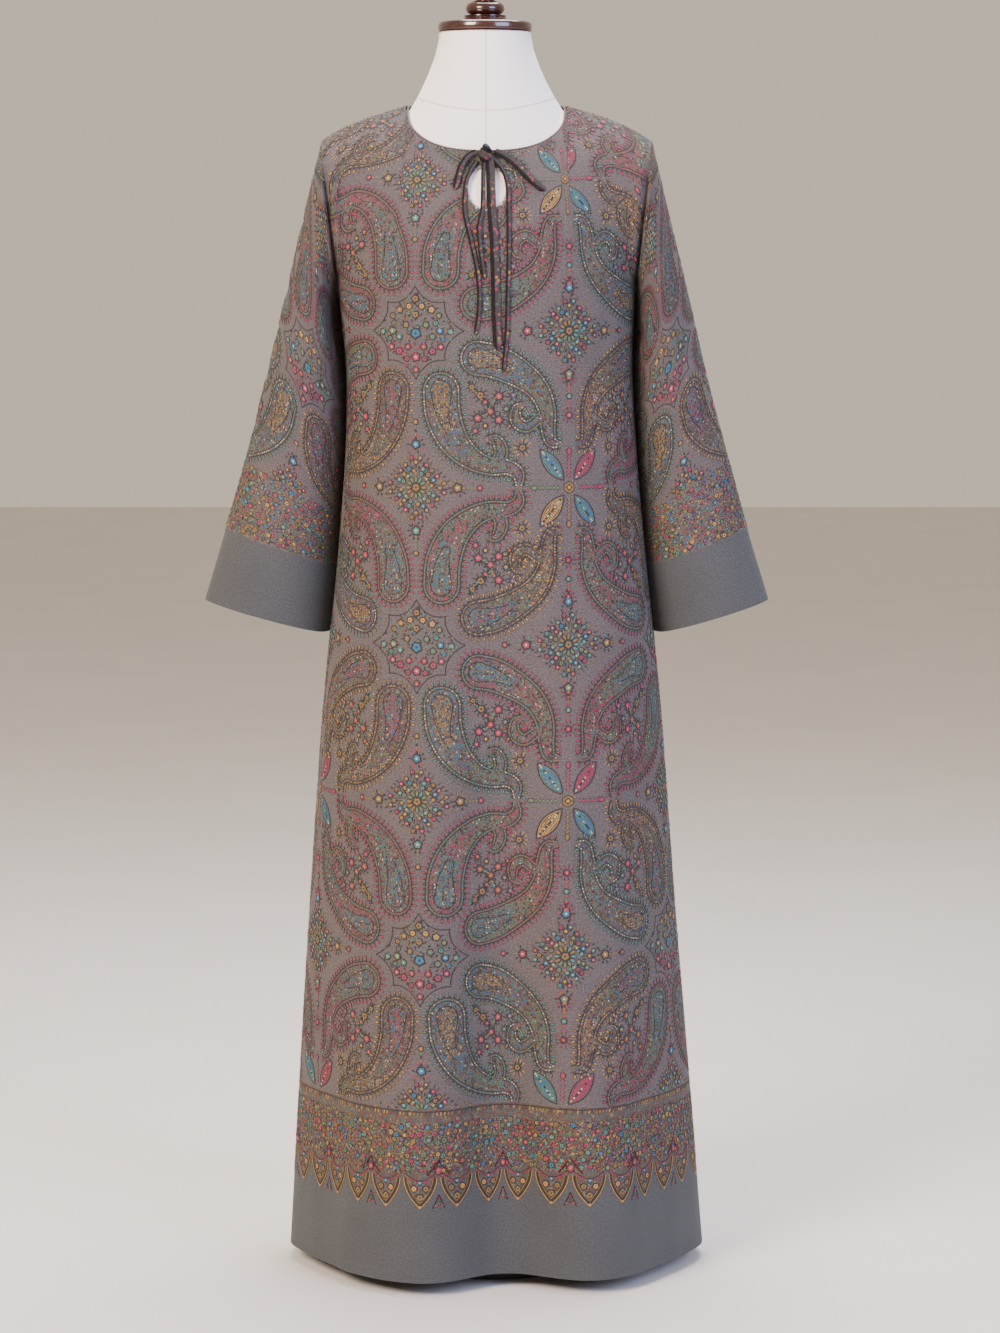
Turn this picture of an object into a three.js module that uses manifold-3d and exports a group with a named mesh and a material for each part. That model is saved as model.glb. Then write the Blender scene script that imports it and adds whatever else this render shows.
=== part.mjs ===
// Long-sleeved kaftan with a tied keyhole neck, on a limbless dress form with a turned cap.
// Millimetres, +Z up, standing on Z = 0. The front faces -Y, and left and right are as seen from the front.
import * as THREE from 'three';
import Module from 'manifold-3d';

const wasm = await Module();
wasm.setup();
const { Manifold, Mesh: ManifoldMesh } = wasm;

// Driving sizes
const cloth_wall = 2;
const seam_gap = 0.3;
const hem_height = 18;
const border_seam_height = 224;
const underarm_height = 1204;
const form_bottom_height = 740;
const neck_top_height = 1504;
const upper_rows = 11;

// Columns of the front and back as shares of the way from the middle to the side seam,
// closer together where the neckline turns up to the neck point
const neck_share = 0.5;
const half_columns = [0.09, 0.18, 0.27, 0.35, 0.42, 0.47, neck_share, 0.6, 0.7, 0.8, 0.9, 1];
const columns_across = [...half_columns.map((share) => -share).reverse(), 0, ...half_columns];
const middle_column = half_columns.length;
const neck_columns = half_columns.indexOf(neck_share) + 1;

// Side edges, front and back depth of the body before its folds, and how square each ring is
const body_outline = [
  { z: 18, left: 244, right: 268, front: 241, back: 217.6, square: 2.0 },
  { z: 224, left: 232, right: 251, front: 219, back: 190, square: 2.0 },
  { z: 445, left: 218, right: 232, front: 199, back: 171, square: 2.0 },
  { z: 693, left: 200, right: 213, front: 177, back: 152, square: 2.05 },
  { z: 878, left: 181, right: 194, front: 155, back: 138, square: 2.15 },
  { z: 1000, left: 172, right: 183, front: 139, back: 122, square: 2.2 },
  { z: 1100, left: 171, right: 178, front: 131, back: 111, square: 2.25 },
  { z: 1204, left: 181, right: 181, front: 133, back: 112, square: 2.3 },
];

// Long soft folds of the skirt: turn in degrees from the front centre, half width in degrees,
// depth at the hem (below zero is a ridge) and the height where the fold has faded out
const skirt_folds = [
  { turn: 4, half_width: 19, depth: 72, top: 1090 },
  { turn: -60, half_width: 9, depth: 5, top: 720 },
  { turn: 57, half_width: 9, depth: 6, top: 760 },
  { turn: 116, half_width: 11, depth: 9, top: 820 },
  { turn: 152, half_width: 14, depth: 30, top: 960 },
  { turn: 203, half_width: 15, depth: 34, top: 990 },
  { turn: 243, half_width: 11, depth: 10, top: 840 },
];
const fold_sharpness = 2.6;
const side_ridge = { depth: 14, half_width: 13, top: 900 };

// Shoulder tip, neck point and the depth of the armhole
const shoulder_tip = { x: 199, y: 0, z: 1374 };
const neck_point = { x: 97, y: 4, z: 1416 };
const shoulder_tip_rounding = 11;
const neckline = { front_drop: 57, front_square: 2.5, back_reach: 60, back_drop: 4, back_round: 1.3 };
const ridge_rise = 14;
const shoulder_slope = 25;
const middle_slope = 36;
const armhole_pull = 4;

// Sleeve rings along the outer edge: outer edge, height of the inner edge, the space left between
// the inner edge and the body on each side, half depth and how far forward the sleeve hangs
const sleeve_rings = [
  { along: 0, outer_x: 199, outer_z: 1374, inner_z: 1204, gap_left: 0, gap_right: 0, depth: 64, forward: 0 },
  { along: 75, outer_x: 217, outer_z: 1303, inner_z: 1160, gap_left: 10.5, gap_right: 5.5, depth: 67, forward: 1 },
  { along: 200, outer_x: 246, outer_z: 1182, inner_z: 1072, gap_left: 6, gap_right: 4, depth: 65, forward: 3 },
  { along: 325, outer_x: 275, outer_z: 1061, inner_z: 978, gap_left: 6, gap_right: 4, depth: 60, forward: 6 },
  { along: 490, outer_x: 318, outer_z: 906, inner_z: 862, gap_left: 8, gap_right: 4, depth: 53, forward: 10 },
  { along: 580, outer_x: 344, outer_z: 819, inner_z: 779, gap_left: 9, gap_right: 8, depth: 50, forward: 12 },
];
const cuff_seam_along = 490;
const cuff_end_along = 580;
const sleeve_steps = 10;
const cuff_steps = 2;

// Soft folds across the sleeve: place along it, length of the fold, depth, and where round the ring
const sleeve_folds = [
  { along: 95, length: 20, depth: 3.5, around: 90, spread: 55 },
  { along: 165, length: 24, depth: 3, around: 60, spread: 50 },
  { along: 250, length: 26, depth: 4, around: 130, spread: 60 },
  { along: 340, length: 24, depth: 3, around: 60, spread: 55 },
  { along: 215, length: 26, depth: 4, around: 270, spread: 60 },
  { along: 330, length: 24, depth: 3, around: 250, spread: 60 },
];

// Keyhole below the neck, with the slit that joins it to the neckline
const keyhole = { x: 1, z: 1316, half_width: 22.5, half_height: 26, slit_width: 4 };
const binding_radius = 1.3;
const binding_gap = 0.6;

// How far the dress form stays inside the cloth's outer face
const form_insets = [
  { z: 740, inset: 44 },
  { z: 800, inset: 30 },
  { z: 878, inset: 20 },
  { z: 1000, inset: 12 },
  { z: 1100, inset: 8 },
  { z: 1204, inset: 4 },
];
const form_upper_inset = 3.8;
const form_side_inset = 4;
const form_neck_margin = 3.2;
const neck_top = { x: -1.5, y: 2, radius: 55.5 };

// Ties, seen from the front: x and z of the route, and how far the tie lies off the cloth
const tie_knot = { x: -0.5, z: 1350, half_width: 7.6, half_height: 12.5, half_depth: 7.5, lift: 9.5 };
const tie_routes = [
  { name: 'tie_tail_1', width: 5.7, thickness: 2.4, route: [
    { x: -11, z: 1347, lift: 3.2 }, { x: -19, z: 1333, lift: 3.4 }, { x: -24, z: 1318, lift: 3 },
    { x: -25.5, z: 1290, lift: 2 }, { x: -21, z: 1266, lift: 2 }, { x: -14, z: 1236, lift: 2 },
    { x: -8.5, z: 1205, lift: 2 }, { x: -8.5, z: 1170, lift: 2 }, { x: -13, z: 1141, lift: 2 },
  ] },
  { name: 'tie_tail_2', width: 5.5, thickness: 2.4, route: [
    { x: -3.6, z: 1336, lift: 5 }, { x: -3.6, z: 1313, lift: 4.6 }, { x: -4.6, z: 1288, lift: 1.9 },
    { x: -8.5, z: 1266, lift: 5 }, { x: -6.5, z: 1240, lift: 5 }, { x: -1.6, z: 1206, lift: 1.7 },
  ] },
  { name: 'tie_tail_3', width: 11, thickness: 2.4, route: [
    { x: 5.4, z: 1336.5, lift: 4.5 }, { x: 5.6, z: 1313, lift: 4.4 }, { x: 6.6, z: 1290, lift: 2.2 },
    { x: 9.4, z: 1254, lift: 2 }, { x: 11, z: 1207, lift: 2 }, { x: 12, z: 1165, lift: 2 },
    { x: 14, z: 1123, lift: 2 },
  ] },
  { name: 'tie_tail_4', width: 5.5, thickness: 2.4, route: [
    { x: 9.4, z: 1347, lift: 3.4 }, { x: 19, z: 1336, lift: 3.2 }, { x: 25, z: 1318, lift: 3 },
    { x: 26.6, z: 1285, lift: 2 }, { x: 26.6, z: 1240, lift: 2 }, { x: 25.6, z: 1190, lift: 2 },
    { x: 24, z: 1140, lift: 2 }, { x: 20, z: 1098, lift: 2 },
  ] },
];
const tie_loops = [
  { name: 'tie_loop_right', width: 10, thickness: 3, route: [
    { x: 9.8, z: 1356, lift: 5.2 }, { x: 20, z: 1352, lift: 5.2 }, { x: 34, z: 1342, lift: 4.6 },
    { x: 52, z: 1325, lift: 3 }, { x: 70, z: 1311, lift: 1.9 },
  ] },
  { name: 'tie_loop_left', width: 8, thickness: 3, route: [
    { x: -11, z: 1356, lift: 5.2 }, { x: -21, z: 1350.5, lift: 5 }, { x: -30, z: 1337, lift: 4 },
    { x: -37, z: 1312, lift: 1.9 },
  ] },
];

// Stand under the skirt
const stand_base = { radius: 130, thickness: 16, edge: 4 };
const stand_pole_radius = 14;

// Materials
const cloth_look = { color: 0x7a6e6b, roughness: 0.9, metalness: 0 };
const plain_cloth_look = { color: 0x777173, roughness: 0.92, metalness: 0 };
const tie_look = { color: 0x55484a, roughness: 0.85, metalness: 0 };
const form_look = { color: 0xf7efe9, roughness: 0.85, metalness: 0 };
const wood_look = { color: 0x3a1d1a, roughness: 0.25, metalness: 0 };
const iron_look = { color: 0x2b2725, roughness: 0.5, metalness: 0.6 };

// Smooth value of one column of a table at a place between its rows
function smoothValue(table, key, column, place) {
  const last = table.length - 1;
  let row = 0;
  while (row < last - 1 && place > table[row + 1][key]) row += 1;
  const slopeAt = (index) => {
    const before = table[Math.max(index - 1, 0)];
    const after = table[Math.min(index + 1, last)];
    return (after[column] - before[column]) / (after[key] - before[key]);
  };
  const start = table[row];
  const end = table[row + 1];
  const span = end[key] - start[key];
  const k = THREE.MathUtils.clamp((place - start[key]) / span, 0, 1);
  const k2 = k * k;
  const k3 = k2 * k;
  return (2 * k3 - 3 * k2 + 1) * start[column] + (k3 - 2 * k2 + k) * span * slopeAt(row)
    + (3 * k2 - 2 * k3) * end[column] + (k3 - k2) * span * slopeAt(row + 1);
}

// Share of a fold that is left at a height, from 1 at the hem to 0 at its top
function foldFade(z, top) {
  const k = THREE.MathUtils.clamp((z - hem_height) / (top - hem_height), 0, 1);
  return (1 + Math.cos(Math.PI * k)) / 2;
}

// How much of a fold is felt at a turn, 1 on its line
function foldShare(turn, fold_turn, half_width) {
  const away = Math.abs(THREE.MathUtils.euclideanModulo(turn - fold_turn + 180, 360) - 180);
  return Math.exp(-((away / half_width) ** fold_sharpness));
}

// Radius of the body ring at a height and a turn from the front centre, towards +X
function ringRadius(z, turn, with_folds) {
  const left = smoothValue(body_outline, 'z', 'left', z);
  const right = smoothValue(body_outline, 'z', 'right', z);
  const depth_column = Math.cos(THREE.MathUtils.degToRad(turn)) >= 0 ? 'front' : 'back';
  const depth = smoothValue(body_outline, 'z', depth_column, z);
  const square = smoothValue(body_outline, 'z', 'square', z);
  const ridge = side_ridge.depth * foldFade(z, side_ridge.top);
  const half_width = (left + right) / 2 - ridge;
  const angle = THREE.MathUtils.degToRad(turn);
  const across = Math.abs(Math.sin(angle) / half_width) ** square;
  const through = Math.abs(Math.cos(angle) / depth) ** square;
  let radius = (across + through) ** (-1 / square);
  if (!with_folds) return radius;
  radius += ridge * (foldShare(turn, 90, side_ridge.half_width) + foldShare(turn, -90, side_ridge.half_width));
  for (const fold of skirt_folds) {
    radius -= fold.depth * foldFade(z, fold.top) * foldShare(turn, fold.turn, fold.half_width);
  }
  return radius;
}

// Sideways shift of the ring's middle at a height
function ringMiddle(z) {
  return (smoothValue(body_outline, 'z', 'right', z) - smoothValue(body_outline, 'z', 'left', z)) / 2;
}

// Turn of a column: across runs from -1 at the left side seam to 1 at the right one
function columnTurn(side, across) {
  return side === 'front' ? 90 * across : 180 - 90 * across;
}

// Point of the body ring, moved in by an inset
function ringPoint(side, across, z, with_folds = true, inset = 0) {
  const turn = columnTurn(side, across);
  const radius = ringRadius(z, turn, with_folds) - inset;
  const angle = THREE.MathUtils.degToRad(turn);
  return new THREE.Vector3(ringMiddle(z) + radius * Math.sin(angle), -radius * Math.cos(angle), z);
}

// Shoulder seam from the neck point (0) to the shoulder tip (1), on one side
function shoulderPoint(sign, k) {
  const straight_drop = neck_point.z - shoulder_tip.z - shoulder_tip_rounding;
  return new THREE.Vector3(
    sign * THREE.MathUtils.lerp(neck_point.x, shoulder_tip.x, k),
    THREE.MathUtils.lerp(neck_point.y, shoulder_tip.y, k),
    neck_point.z - straight_drop * k - shoulder_tip_rounding * k ** 4,
  );
}

// Share of the way from the neck points to the middle of the neck, 0 on the shoulders
function neckMiddleShare(across) {
  const reach = Math.min(Math.abs(across) / neck_share, 1);
  return Math.cos(Math.PI / 2 * reach);
}

// Ridge over both shoulders, carried on across the neck so that front and back end on a smooth line
function ridgePoint(across) {
  const reach = Math.abs(across);
  const sign = Math.sign(across) || 1;
  if (reach > neck_share) return shoulderPoint(sign, (reach - neck_share) / (1 - neck_share));
  const rise = ridge_rise * neckMiddleShare(across) ** 2;
  return new THREE.Vector3(neck_point.x * across / neck_share, neck_point.y, neck_point.z + rise);
}

// Smooth sheet from the underarm ring (0) over the chest or back to the ridge (1)
function sheetPoint(side, across, k) {
  const facing = side === 'front' ? 1 : -1;
  const bottom = ringPoint(side, across, underarm_height);
  const below = ringPoint(side, across, underarm_height - 4);
  const top = ridgePoint(across);
  const length = bottom.distanceTo(top);
  const rise = bottom.clone().sub(below).normalize().multiplyScalar(length);
  const middle = (1 + Math.cos(Math.PI * Math.min(Math.abs(across), 1))) / 2;
  const slope = THREE.MathUtils.degToRad(THREE.MathUtils.lerp(shoulder_slope, middle_slope, middle));
  const over = new THREE.Vector3(0, facing * Math.cos(slope), Math.sin(slope)).multiplyScalar(length);
  return bottom.multiplyScalar(2 * k ** 3 - 3 * k ** 2 + 1)
    .addScaledVector(rise, k ** 3 - 2 * k ** 2 + k)
    .addScaledVector(top, 3 * k ** 2 - 2 * k ** 3)
    .addScaledVector(over, k ** 3 - k ** 2);
}

// Height of the front neckline over a place across
function frontNeckHeight(x) {
  const reach = Math.min(Math.abs(x) / neck_point.x, 1);
  const square = neckline.front_square;
  return neck_point.z - neckline.front_drop * (1 - reach ** square) ** (1 / square);
}

// How far up the sheet a column of the front runs before it meets the neckline
const neck_limits = new Map();
function frontNeckLimit(across) {
  if (Math.abs(across) >= neck_share) return 1;
  if (!neck_limits.has(across)) {
    let low = 0;
    let high = 1;
    for (let pass = 0; pass < 30; pass += 1) {
      const middle = (low + high) / 2;
      const { x, z } = sheetPoint('front', across, middle);
      if (z < frontNeckHeight(x)) low = middle;
      else high = middle;
    }
    neck_limits.set(across, high);
  }
  return neck_limits.get(across);
}

// From a ridge point to the back neckline, which runs behind the neck
function backNeckShift(across) {
  const share = neckMiddleShare(across);
  const drop = (ridge_rise + neckline.back_drop) * share ** 2;
  return new THREE.Vector3(0, neckline.back_reach * share ** neckline.back_round, -drop);
}

// Armhole ring: around is 0 at the shoulder tip, 90 at the front, 180 under the arm
function armholePoint(sign, around) {
  return sleevePoint(sign, around, 0);
}

// Upper part of the front or back, from the underarm ring (0) to its upper edge (1)
function upperPoint(side, across, k) {
  const sign = Math.sign(across) || 1;
  const armhole = armholePoint(sign, side === 'front' ? 180 * (1 - k) : 180 * (1 + k));
  const edge_share = Math.atan2(Math.abs(armhole.x), Math.abs(armhole.y)) / (Math.PI / 2);
  const narrowed = across * (1 - (1 - edge_share) * across ** 2);
  const limit = side === 'front' ? frontNeckLimit(across) : 1;
  const height = k * (1 - (1 - limit) * (1 + k) / 2);
  const point = sheetPoint(side, narrowed, height);
  if (side === 'back') point.addScaledVector(backNeckShift(across), k ** 3);
  const edge = sheetPoint(side, sign * edge_share, k);
  return point.addScaledVector(armhole.sub(edge), Math.abs(across) ** armhole_pull);
}

// Length that stands for the upper part when a level is measured from the underarm ring
const upper_length = 170;

// Point of the body's outer face: level is the height over the underarm ring, in millimetres
function bodyPoint(side, across, level) {
  if (level <= 0) return ringPoint(side, across, underarm_height + level);
  return upperPoint(side, across, Math.min(level / upper_length, 1));
}

// Point of the sleeve's outer face: sign is -1 for the left sleeve and 1 for the right one
function sleevePoint(sign, around, along) {
  const value = (column) => smoothValue(sleeve_rings, 'along', column, along);
  const inner_z = value('inner_z');
  const edge = smoothValue(body_outline, 'z', sign < 0 ? 'left' : 'right', inner_z);
  const inner_x = edge + value(sign < 0 ? 'gap_left' : 'gap_right');
  const outer = new THREE.Vector3(sign * value('outer_x'), 0, value('outer_z'));
  const inner = new THREE.Vector3(sign * inner_x, 0, inner_z);
  const angle = THREE.MathUtils.degToRad(around);
  let share = 1;
  for (const fold of sleeve_folds) {
    const near = Math.exp(-(((along - fold.along) / fold.length) ** 2));
    share -= fold.depth / value('depth') * near * foldShare(around, fold.around, fold.spread);
  }
  const middle = outer.clone().add(inner).multiplyScalar(0.5);
  const half = outer.sub(inner).multiplyScalar(0.5 * Math.cos(angle));
  middle.add(half);
  middle.y = -value('forward') - value('depth') * share * Math.sin(angle);
  return middle;
}

// Outward normal of a surface function of two values, kept inside its range
function surfaceNormal(point_at, u, v, range, outward) {
  const step_u = (range.u[1] - range.u[0]) * 0.001;
  const step_v = (range.v[1] - range.v[0]) * 0.001;
  const u0 = Math.max(u - step_u, range.u[0]);
  const u1 = Math.min(u + step_u, range.u[1]);
  const v0 = Math.max(v - step_v, range.v[0]);
  const v1 = Math.min(v + step_v, range.v[1]);
  const along_u = point_at(u1, v).sub(point_at(u0, v));
  const along_v = point_at(u, v1).sub(point_at(u, v0));
  return along_u.cross(along_v).normalize().multiplyScalar(outward);
}

const body_range = { u: [-1, 1], v: [hem_height - underarm_height, upper_length] };
function bodyNormal(side, across, level) {
  const outward = side === 'front' ? 1 : -1;
  return surfaceNormal((u, v) => bodyPoint(side, u, v), across, level, body_range, outward);
}

const sleeve_range = { u: [-360, 720], v: [0, cuff_end_along] };
function sleeveNormal(sign, around, along) {
  return surfaceNormal((u, v) => sleevePoint(sign, u, v), around, along, sleeve_range, sign);
}

// Direction that gives both walls the same rim where two outward faces meet
function sharedRim(own, other) {
  return own.clone().add(other).divideScalar(1 + own.dot(other));
}

// Wall direction on the armhole: shared over the shoulder, each piece's own in the underarm crease
function armholeRim(own, other, around) {
  const facing = own.dot(other);
  const over_shoulder = Math.cos(THREE.MathUtils.degToRad(around)) > 0;
  if (over_shoulder) return sharedRim(own, other);
  if (facing < 0.2) return own.clone();
  const weight = THREE.MathUtils.smoothstep(facing, 0.2, 0.8);
  return own.clone().lerp(sharedRim(own, other), weight);
}

// Wall direction at the shoulder tip, where front, back and sleeve meet
function tipWall(sign) {
  const front = bodyNormal('front', sign, upper_length);
  const back = bodyNormal('back', sign, upper_length);
  return sharedRim(front.add(back).normalize(), sleeveNormal(sign, 0, 0));
}

function armholeAround(side, level) {
  const k = level / upper_length;
  return side === 'front' ? 180 * (1 - k) : 180 * (1 + k);
}

// Wall direction of the body at a column and level, shared with what it is sewn to on its edges
function bodyWall(side, across, level) {
  const own = bodyNormal(side, across, level);
  const on_side = Math.abs(across) > 1 - 1e-6;
  const on_shoulder = level > upper_length - 1e-6 && Math.abs(across) >= neck_share - 1e-6;
  const other_side = side === 'front' ? 'back' : 'front';
  if (on_shoulder && on_side) return tipWall(Math.sign(across));
  if (on_shoulder || (on_side && level <= 0)) return sharedRim(own, bodyNormal(other_side, across, level));
  if (on_side) {
    const around = armholeAround(side, level);
    return armholeRim(own, sleeveNormal(Math.sign(across), around, 0), around);
  }
  return own;
}

// Wall direction of the sleeve, shared with the body on its first ring
function sleeveWall(sign, around, along) {
  const own = sleeveNormal(sign, around, along);
  if (along > 1e-6) return own;
  const turn = THREE.MathUtils.euclideanModulo(around, 360);
  if (turn < 1e-6) return tipWall(sign);
  const side = turn <= 180 ? 'front' : 'back';
  const level = upper_length * (side === 'front' ? 1 - turn / 180 : turn / 180 - 1);
  return armholeRim(own, bodyNormal(side, sign, level), turn);
}

// Cloth wall: a grid of outer points, each with an inner point behind it, and rims all round.
// The four flags say which edges stand back from a seam.
function clothShell({ us, vs, closed, pointAt, wallAt, seams }) {
  const outer = us.map((u) => vs.map((v) => pointAt(u, v)));
  const inner = us.map((u, i) => vs.map((v, j) => outer[i][j].clone().addScaledVector(wallAt(u, v), -cloth_wall)));
  const last_u = us.length - 1;
  const last_v = vs.length - 1;
  const moves = [];
  const at = (i, j) => {
    const column = closed ? (i + us.length) % us.length : THREE.MathUtils.clamp(i, 0, last_u);
    return outer[column][THREE.MathUtils.clamp(j, 0, last_v)];
  };
  const addMove = (i, j, next_i, next_j) => {
    const along_edge = next_i === i ? at(i + 1, j).clone().sub(at(i - 1, j)) : at(i, j + 1).clone().sub(at(i, j - 1));
    const step = outer[next_i][next_j].clone().sub(outer[i][j]).normalize();
    const steepness = along_edge.normalize().cross(step).length();
    moves.push({ i, j, step: step.multiplyScalar(seam_gap / 2 / Math.max(steepness, 0.3)) });
  };
  for (let j = 0; j <= last_v; j += 1) {
    if (seams.u_start) addMove(0, j, 1, j);
    if (seams.u_end) addMove(last_u, j, last_u - 1, j);
  }
  for (let i = 0; i <= last_u; i += 1) {
    if (seams.v_start) addMove(i, 0, i, 1);
    if (seams.v_end) addMove(i, last_v, i, last_v - 1);
  }
  for (const { i, j, step } of moves) {
    outer[i][j].add(step);
    inner[i][j].add(step);
  }
  const positions = [];
  const quad = (a, b, c, d) => {
    for (const corner of [a, b, c, a, c, d]) positions.push(corner.x, corner.y, corner.z);
  };
  const columns = closed ? us.length : last_u;
  for (let i = 0; i < columns; i += 1) {
    const next = (i + 1) % us.length;
    for (let j = 0; j < last_v; j += 1) {
      const rising = outer[i][j].distanceTo(outer[next][j + 1]);
      const falling = outer[next][j].distanceTo(outer[i][j + 1]);
      if (rising <= falling) {
        quad(outer[i][j], outer[next][j], outer[next][j + 1], outer[i][j + 1]);
        quad(inner[next][j + 1], inner[next][j], inner[i][j], inner[i][j + 1]);
      } else {
        quad(outer[next][j], outer[next][j + 1], outer[i][j + 1], outer[i][j]);
        quad(inner[i][j + 1], inner[next][j + 1], inner[next][j], inner[i][j]);
      }
    }
    quad(outer[i][0], inner[i][0], inner[next][0], outer[next][0]);
    quad(outer[next][last_v], inner[next][last_v], inner[i][last_v], outer[i][last_v]);
  }
  if (!closed) {
    for (let j = 0; j < last_v; j += 1) {
      quad(outer[0][j + 1], inner[0][j + 1], inner[0][j], outer[0][j]);
      quad(outer[last_u][j], inner[last_u][j], inner[last_u][j + 1], outer[last_u][j + 1]);
    }
  }
  return outwardGeometry(positions);
}

// Geometry from loose triangles, turned so that its faces look outward
function outwardGeometry(positions) {
  let volume = 0;
  for (let at = 0; at < positions.length; at += 9) {
    const a = new THREE.Vector3().fromArray(positions, at);
    const b = new THREE.Vector3().fromArray(positions, at + 3);
    const c = new THREE.Vector3().fromArray(positions, at + 6);
    volume += a.dot(b.cross(c));
  }
  if (volume < 0) {
    for (let at = 0; at < positions.length; at += 9) {
      for (let axis = 0; axis < 3; axis += 1) {
        const kept = positions[at + 3 + axis];
        positions[at + 3 + axis] = positions[at + 6 + axis];
        positions[at + 6 + axis] = kept;
      }
    }
  }
  const geometry = new THREE.BufferGeometry();
  geometry.setAttribute('position', new THREE.Float32BufferAttribute(positions, 3));
  geometry.computeVertexNormals();
  return geometry;
}

// Even steps from one value to another, both ends included
function evenSteps(from, to, count) {
  return Array.from({ length: count + 1 }, (_, index) => from + (to - from) * index / count);
}

// Front or back between two levels
function bodyPanel(side, levels, seams) {
  return clothShell({
    us: columns_across,
    vs: levels,
    closed: false,
    pointAt: (across, level) => bodyPoint(side, across, level),
    wallAt: (across, level) => bodyWall(side, across, level),
    seams,
  });
}

// Panel from the border seam up to the shoulder
function mainPanel(side) {
  const lower = evenSteps(border_seam_height - underarm_height, 0, 12);
  const upper = evenSteps(0, upper_length, upper_rows).slice(1);
  return bodyPanel(side, [...lower, ...upper], { u_start: true, u_end: true, v_start: true, v_end: false });
}

// Strip below the border seam
function hemPanel(side) {
  const levels = evenSteps(hem_height - underarm_height, border_seam_height - underarm_height, 4);
  return bodyPanel(side, levels, { u_start: true, u_end: true, v_start: false, v_end: true });
}

// Sleeve or cuff between two places along the arm, with a point for each row of the armhole
function sleevePanel(sign, from, to, steps) {
  return clothShell({
    us: evenSteps(0, 360, 2 * upper_rows).slice(0, -1),
    vs: evenSteps(from, to, steps),
    closed: true,
    pointAt: (around, along) => sleevePoint(sign, around, along),
    wallAt: (around, along) => sleeveWall(sign, around, along),
    seams: { v_start: true, v_end: to < cuff_end_along },
  });
}

// Manifold solid of a geometry, and back
function toManifold(geometry) {
  const position = geometry.getAttribute('position');
  const index_of = new Map();
  const vertices = [];
  const triangles = [];
  for (let at = 0; at < position.count; at += 1) {
    const point = [position.getX(at), position.getY(at), position.getZ(at)];
    const key = point.map((value) => Math.round(value * 1e4)).join(' ');
    if (!index_of.has(key)) {
      index_of.set(key, index_of.size);
      vertices.push(...point);
    }
    triangles.push(index_of.get(key));
  }
  return new Manifold(new ManifoldMesh({
    numProp: 3,
    vertProperties: new Float32Array(vertices),
    triVerts: new Uint32Array(triangles),
  }));
}

function fromManifold(solid) {
  const mesh = solid.getMesh();
  const geometry = new THREE.BufferGeometry();
  geometry.setAttribute('position', new THREE.Float32BufferAttribute(mesh.vertProperties, 3));
  geometry.setIndex(new THREE.BufferAttribute(mesh.triVerts, 1));
  const loose = geometry.toNonIndexed();
  loose.computeVertexNormals();
  return loose;
}

// Front panel with the keyhole and its slit cut through at the neck
function frontWithKeyhole() {
  const reach = 200;
  const hole = Manifold.cylinder(reach, 1, 1, 36)
    .scale([keyhole.half_width, keyhole.half_height, 1])
    .rotate([90, 0, 0])
    .translate([keyhole.x, 0, keyhole.z]);
  const slit = Manifold.cube([keyhole.slit_width, reach, 100])
    .translate([keyhole.x - keyhole.slit_width / 2, -reach, keyhole.z]);
  return fromManifold(toManifold(mainPanel('front')).subtract(hole).subtract(slit));
}

// Route with its own outward direction at each point, so that a flat section keeps its face out
class GuidedRoute extends THREE.Curve {
  constructor(points, outwards) {
    super();
    this.points = points;
    this.outwards = outwards;
  }

  getPoint(k, target = new THREE.Vector3()) {
    const place = k * (this.points.length - 1);
    const index = Math.min(Math.floor(place), this.points.length - 2);
    return target.lerpVectors(this.points[index], this.points[index + 1], place - index);
  }

  getSpacedPoints() {
    return this.points;
  }

  computeFrenetFrames() {
    const last = this.points.length - 1;
    const tangents = this.points.map((_, index) => {
      const ahead = this.points[Math.min(index + 1, last)];
      const behind = this.points[Math.max(index - 1, 0)];
      return ahead.clone().sub(behind).normalize();
    });
    const binormals = tangents.map((tangent, index) => tangent.clone().cross(this.outwards[index]).normalize());
    const normals = binormals.map((binormal, index) => binormal.clone().cross(tangents[index]));
    return { tangents, normals, binormals };
  }
}

// Tube of a flat or round section along a guided route
function tube(points, outwards, half_width, half_thickness, sides) {
  const section = new THREE.Shape();
  for (let side = 0; side < sides; side += 1) {
    const angle = 2 * Math.PI * (side + 0.5) / sides;
    const x = half_thickness * Math.cos(angle);
    const y = half_width * Math.sin(angle);
    if (side === 0) section.moveTo(x, y);
    else section.lineTo(x, y);
  }
  section.closePath();
  const extrudePath = new GuidedRoute(points, outwards);
  return new THREE.ExtrudeGeometry(section, { steps: points.length - 1, extrudePath, bevelEnabled: false });
}

// Direction from the neckline into the neck opening, shared by front and back at the neck points
function towardsNeck(side, across) {
  const step = 0.005;
  const ahead = bodyPoint(side, Math.min(across + step, neck_share), upper_length);
  const behind = bodyPoint(side, Math.max(across - step, -neck_share), upper_length);
  const away = ahead.sub(behind).cross(bodyNormal(side, across, upper_length)).normalize();
  return side === 'front' ? away.negate() : away;
}

function neckRim(side, across) {
  const own = towardsNeck(side, across);
  const at_neck_point = Math.abs(across) > neck_share - 1e-6;
  return at_neck_point ? sharedRim(own, towardsNeck(side === 'front' ? 'back' : 'front', across)) : own;
}

// Place just past the neckline at a column, with its outward direction
function bindingPlace(side, column) {
  const across = columns_across[column];
  const point = bodyPoint(side, across, upper_length);
  const outward = bodyWall(side, across, upper_length).normalize();
  point.addScaledVector(outward, -cloth_wall / 2);
  point.addScaledVector(neckRim(side, across), binding_gap + binding_radius);
  return { point, outward };
}

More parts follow.
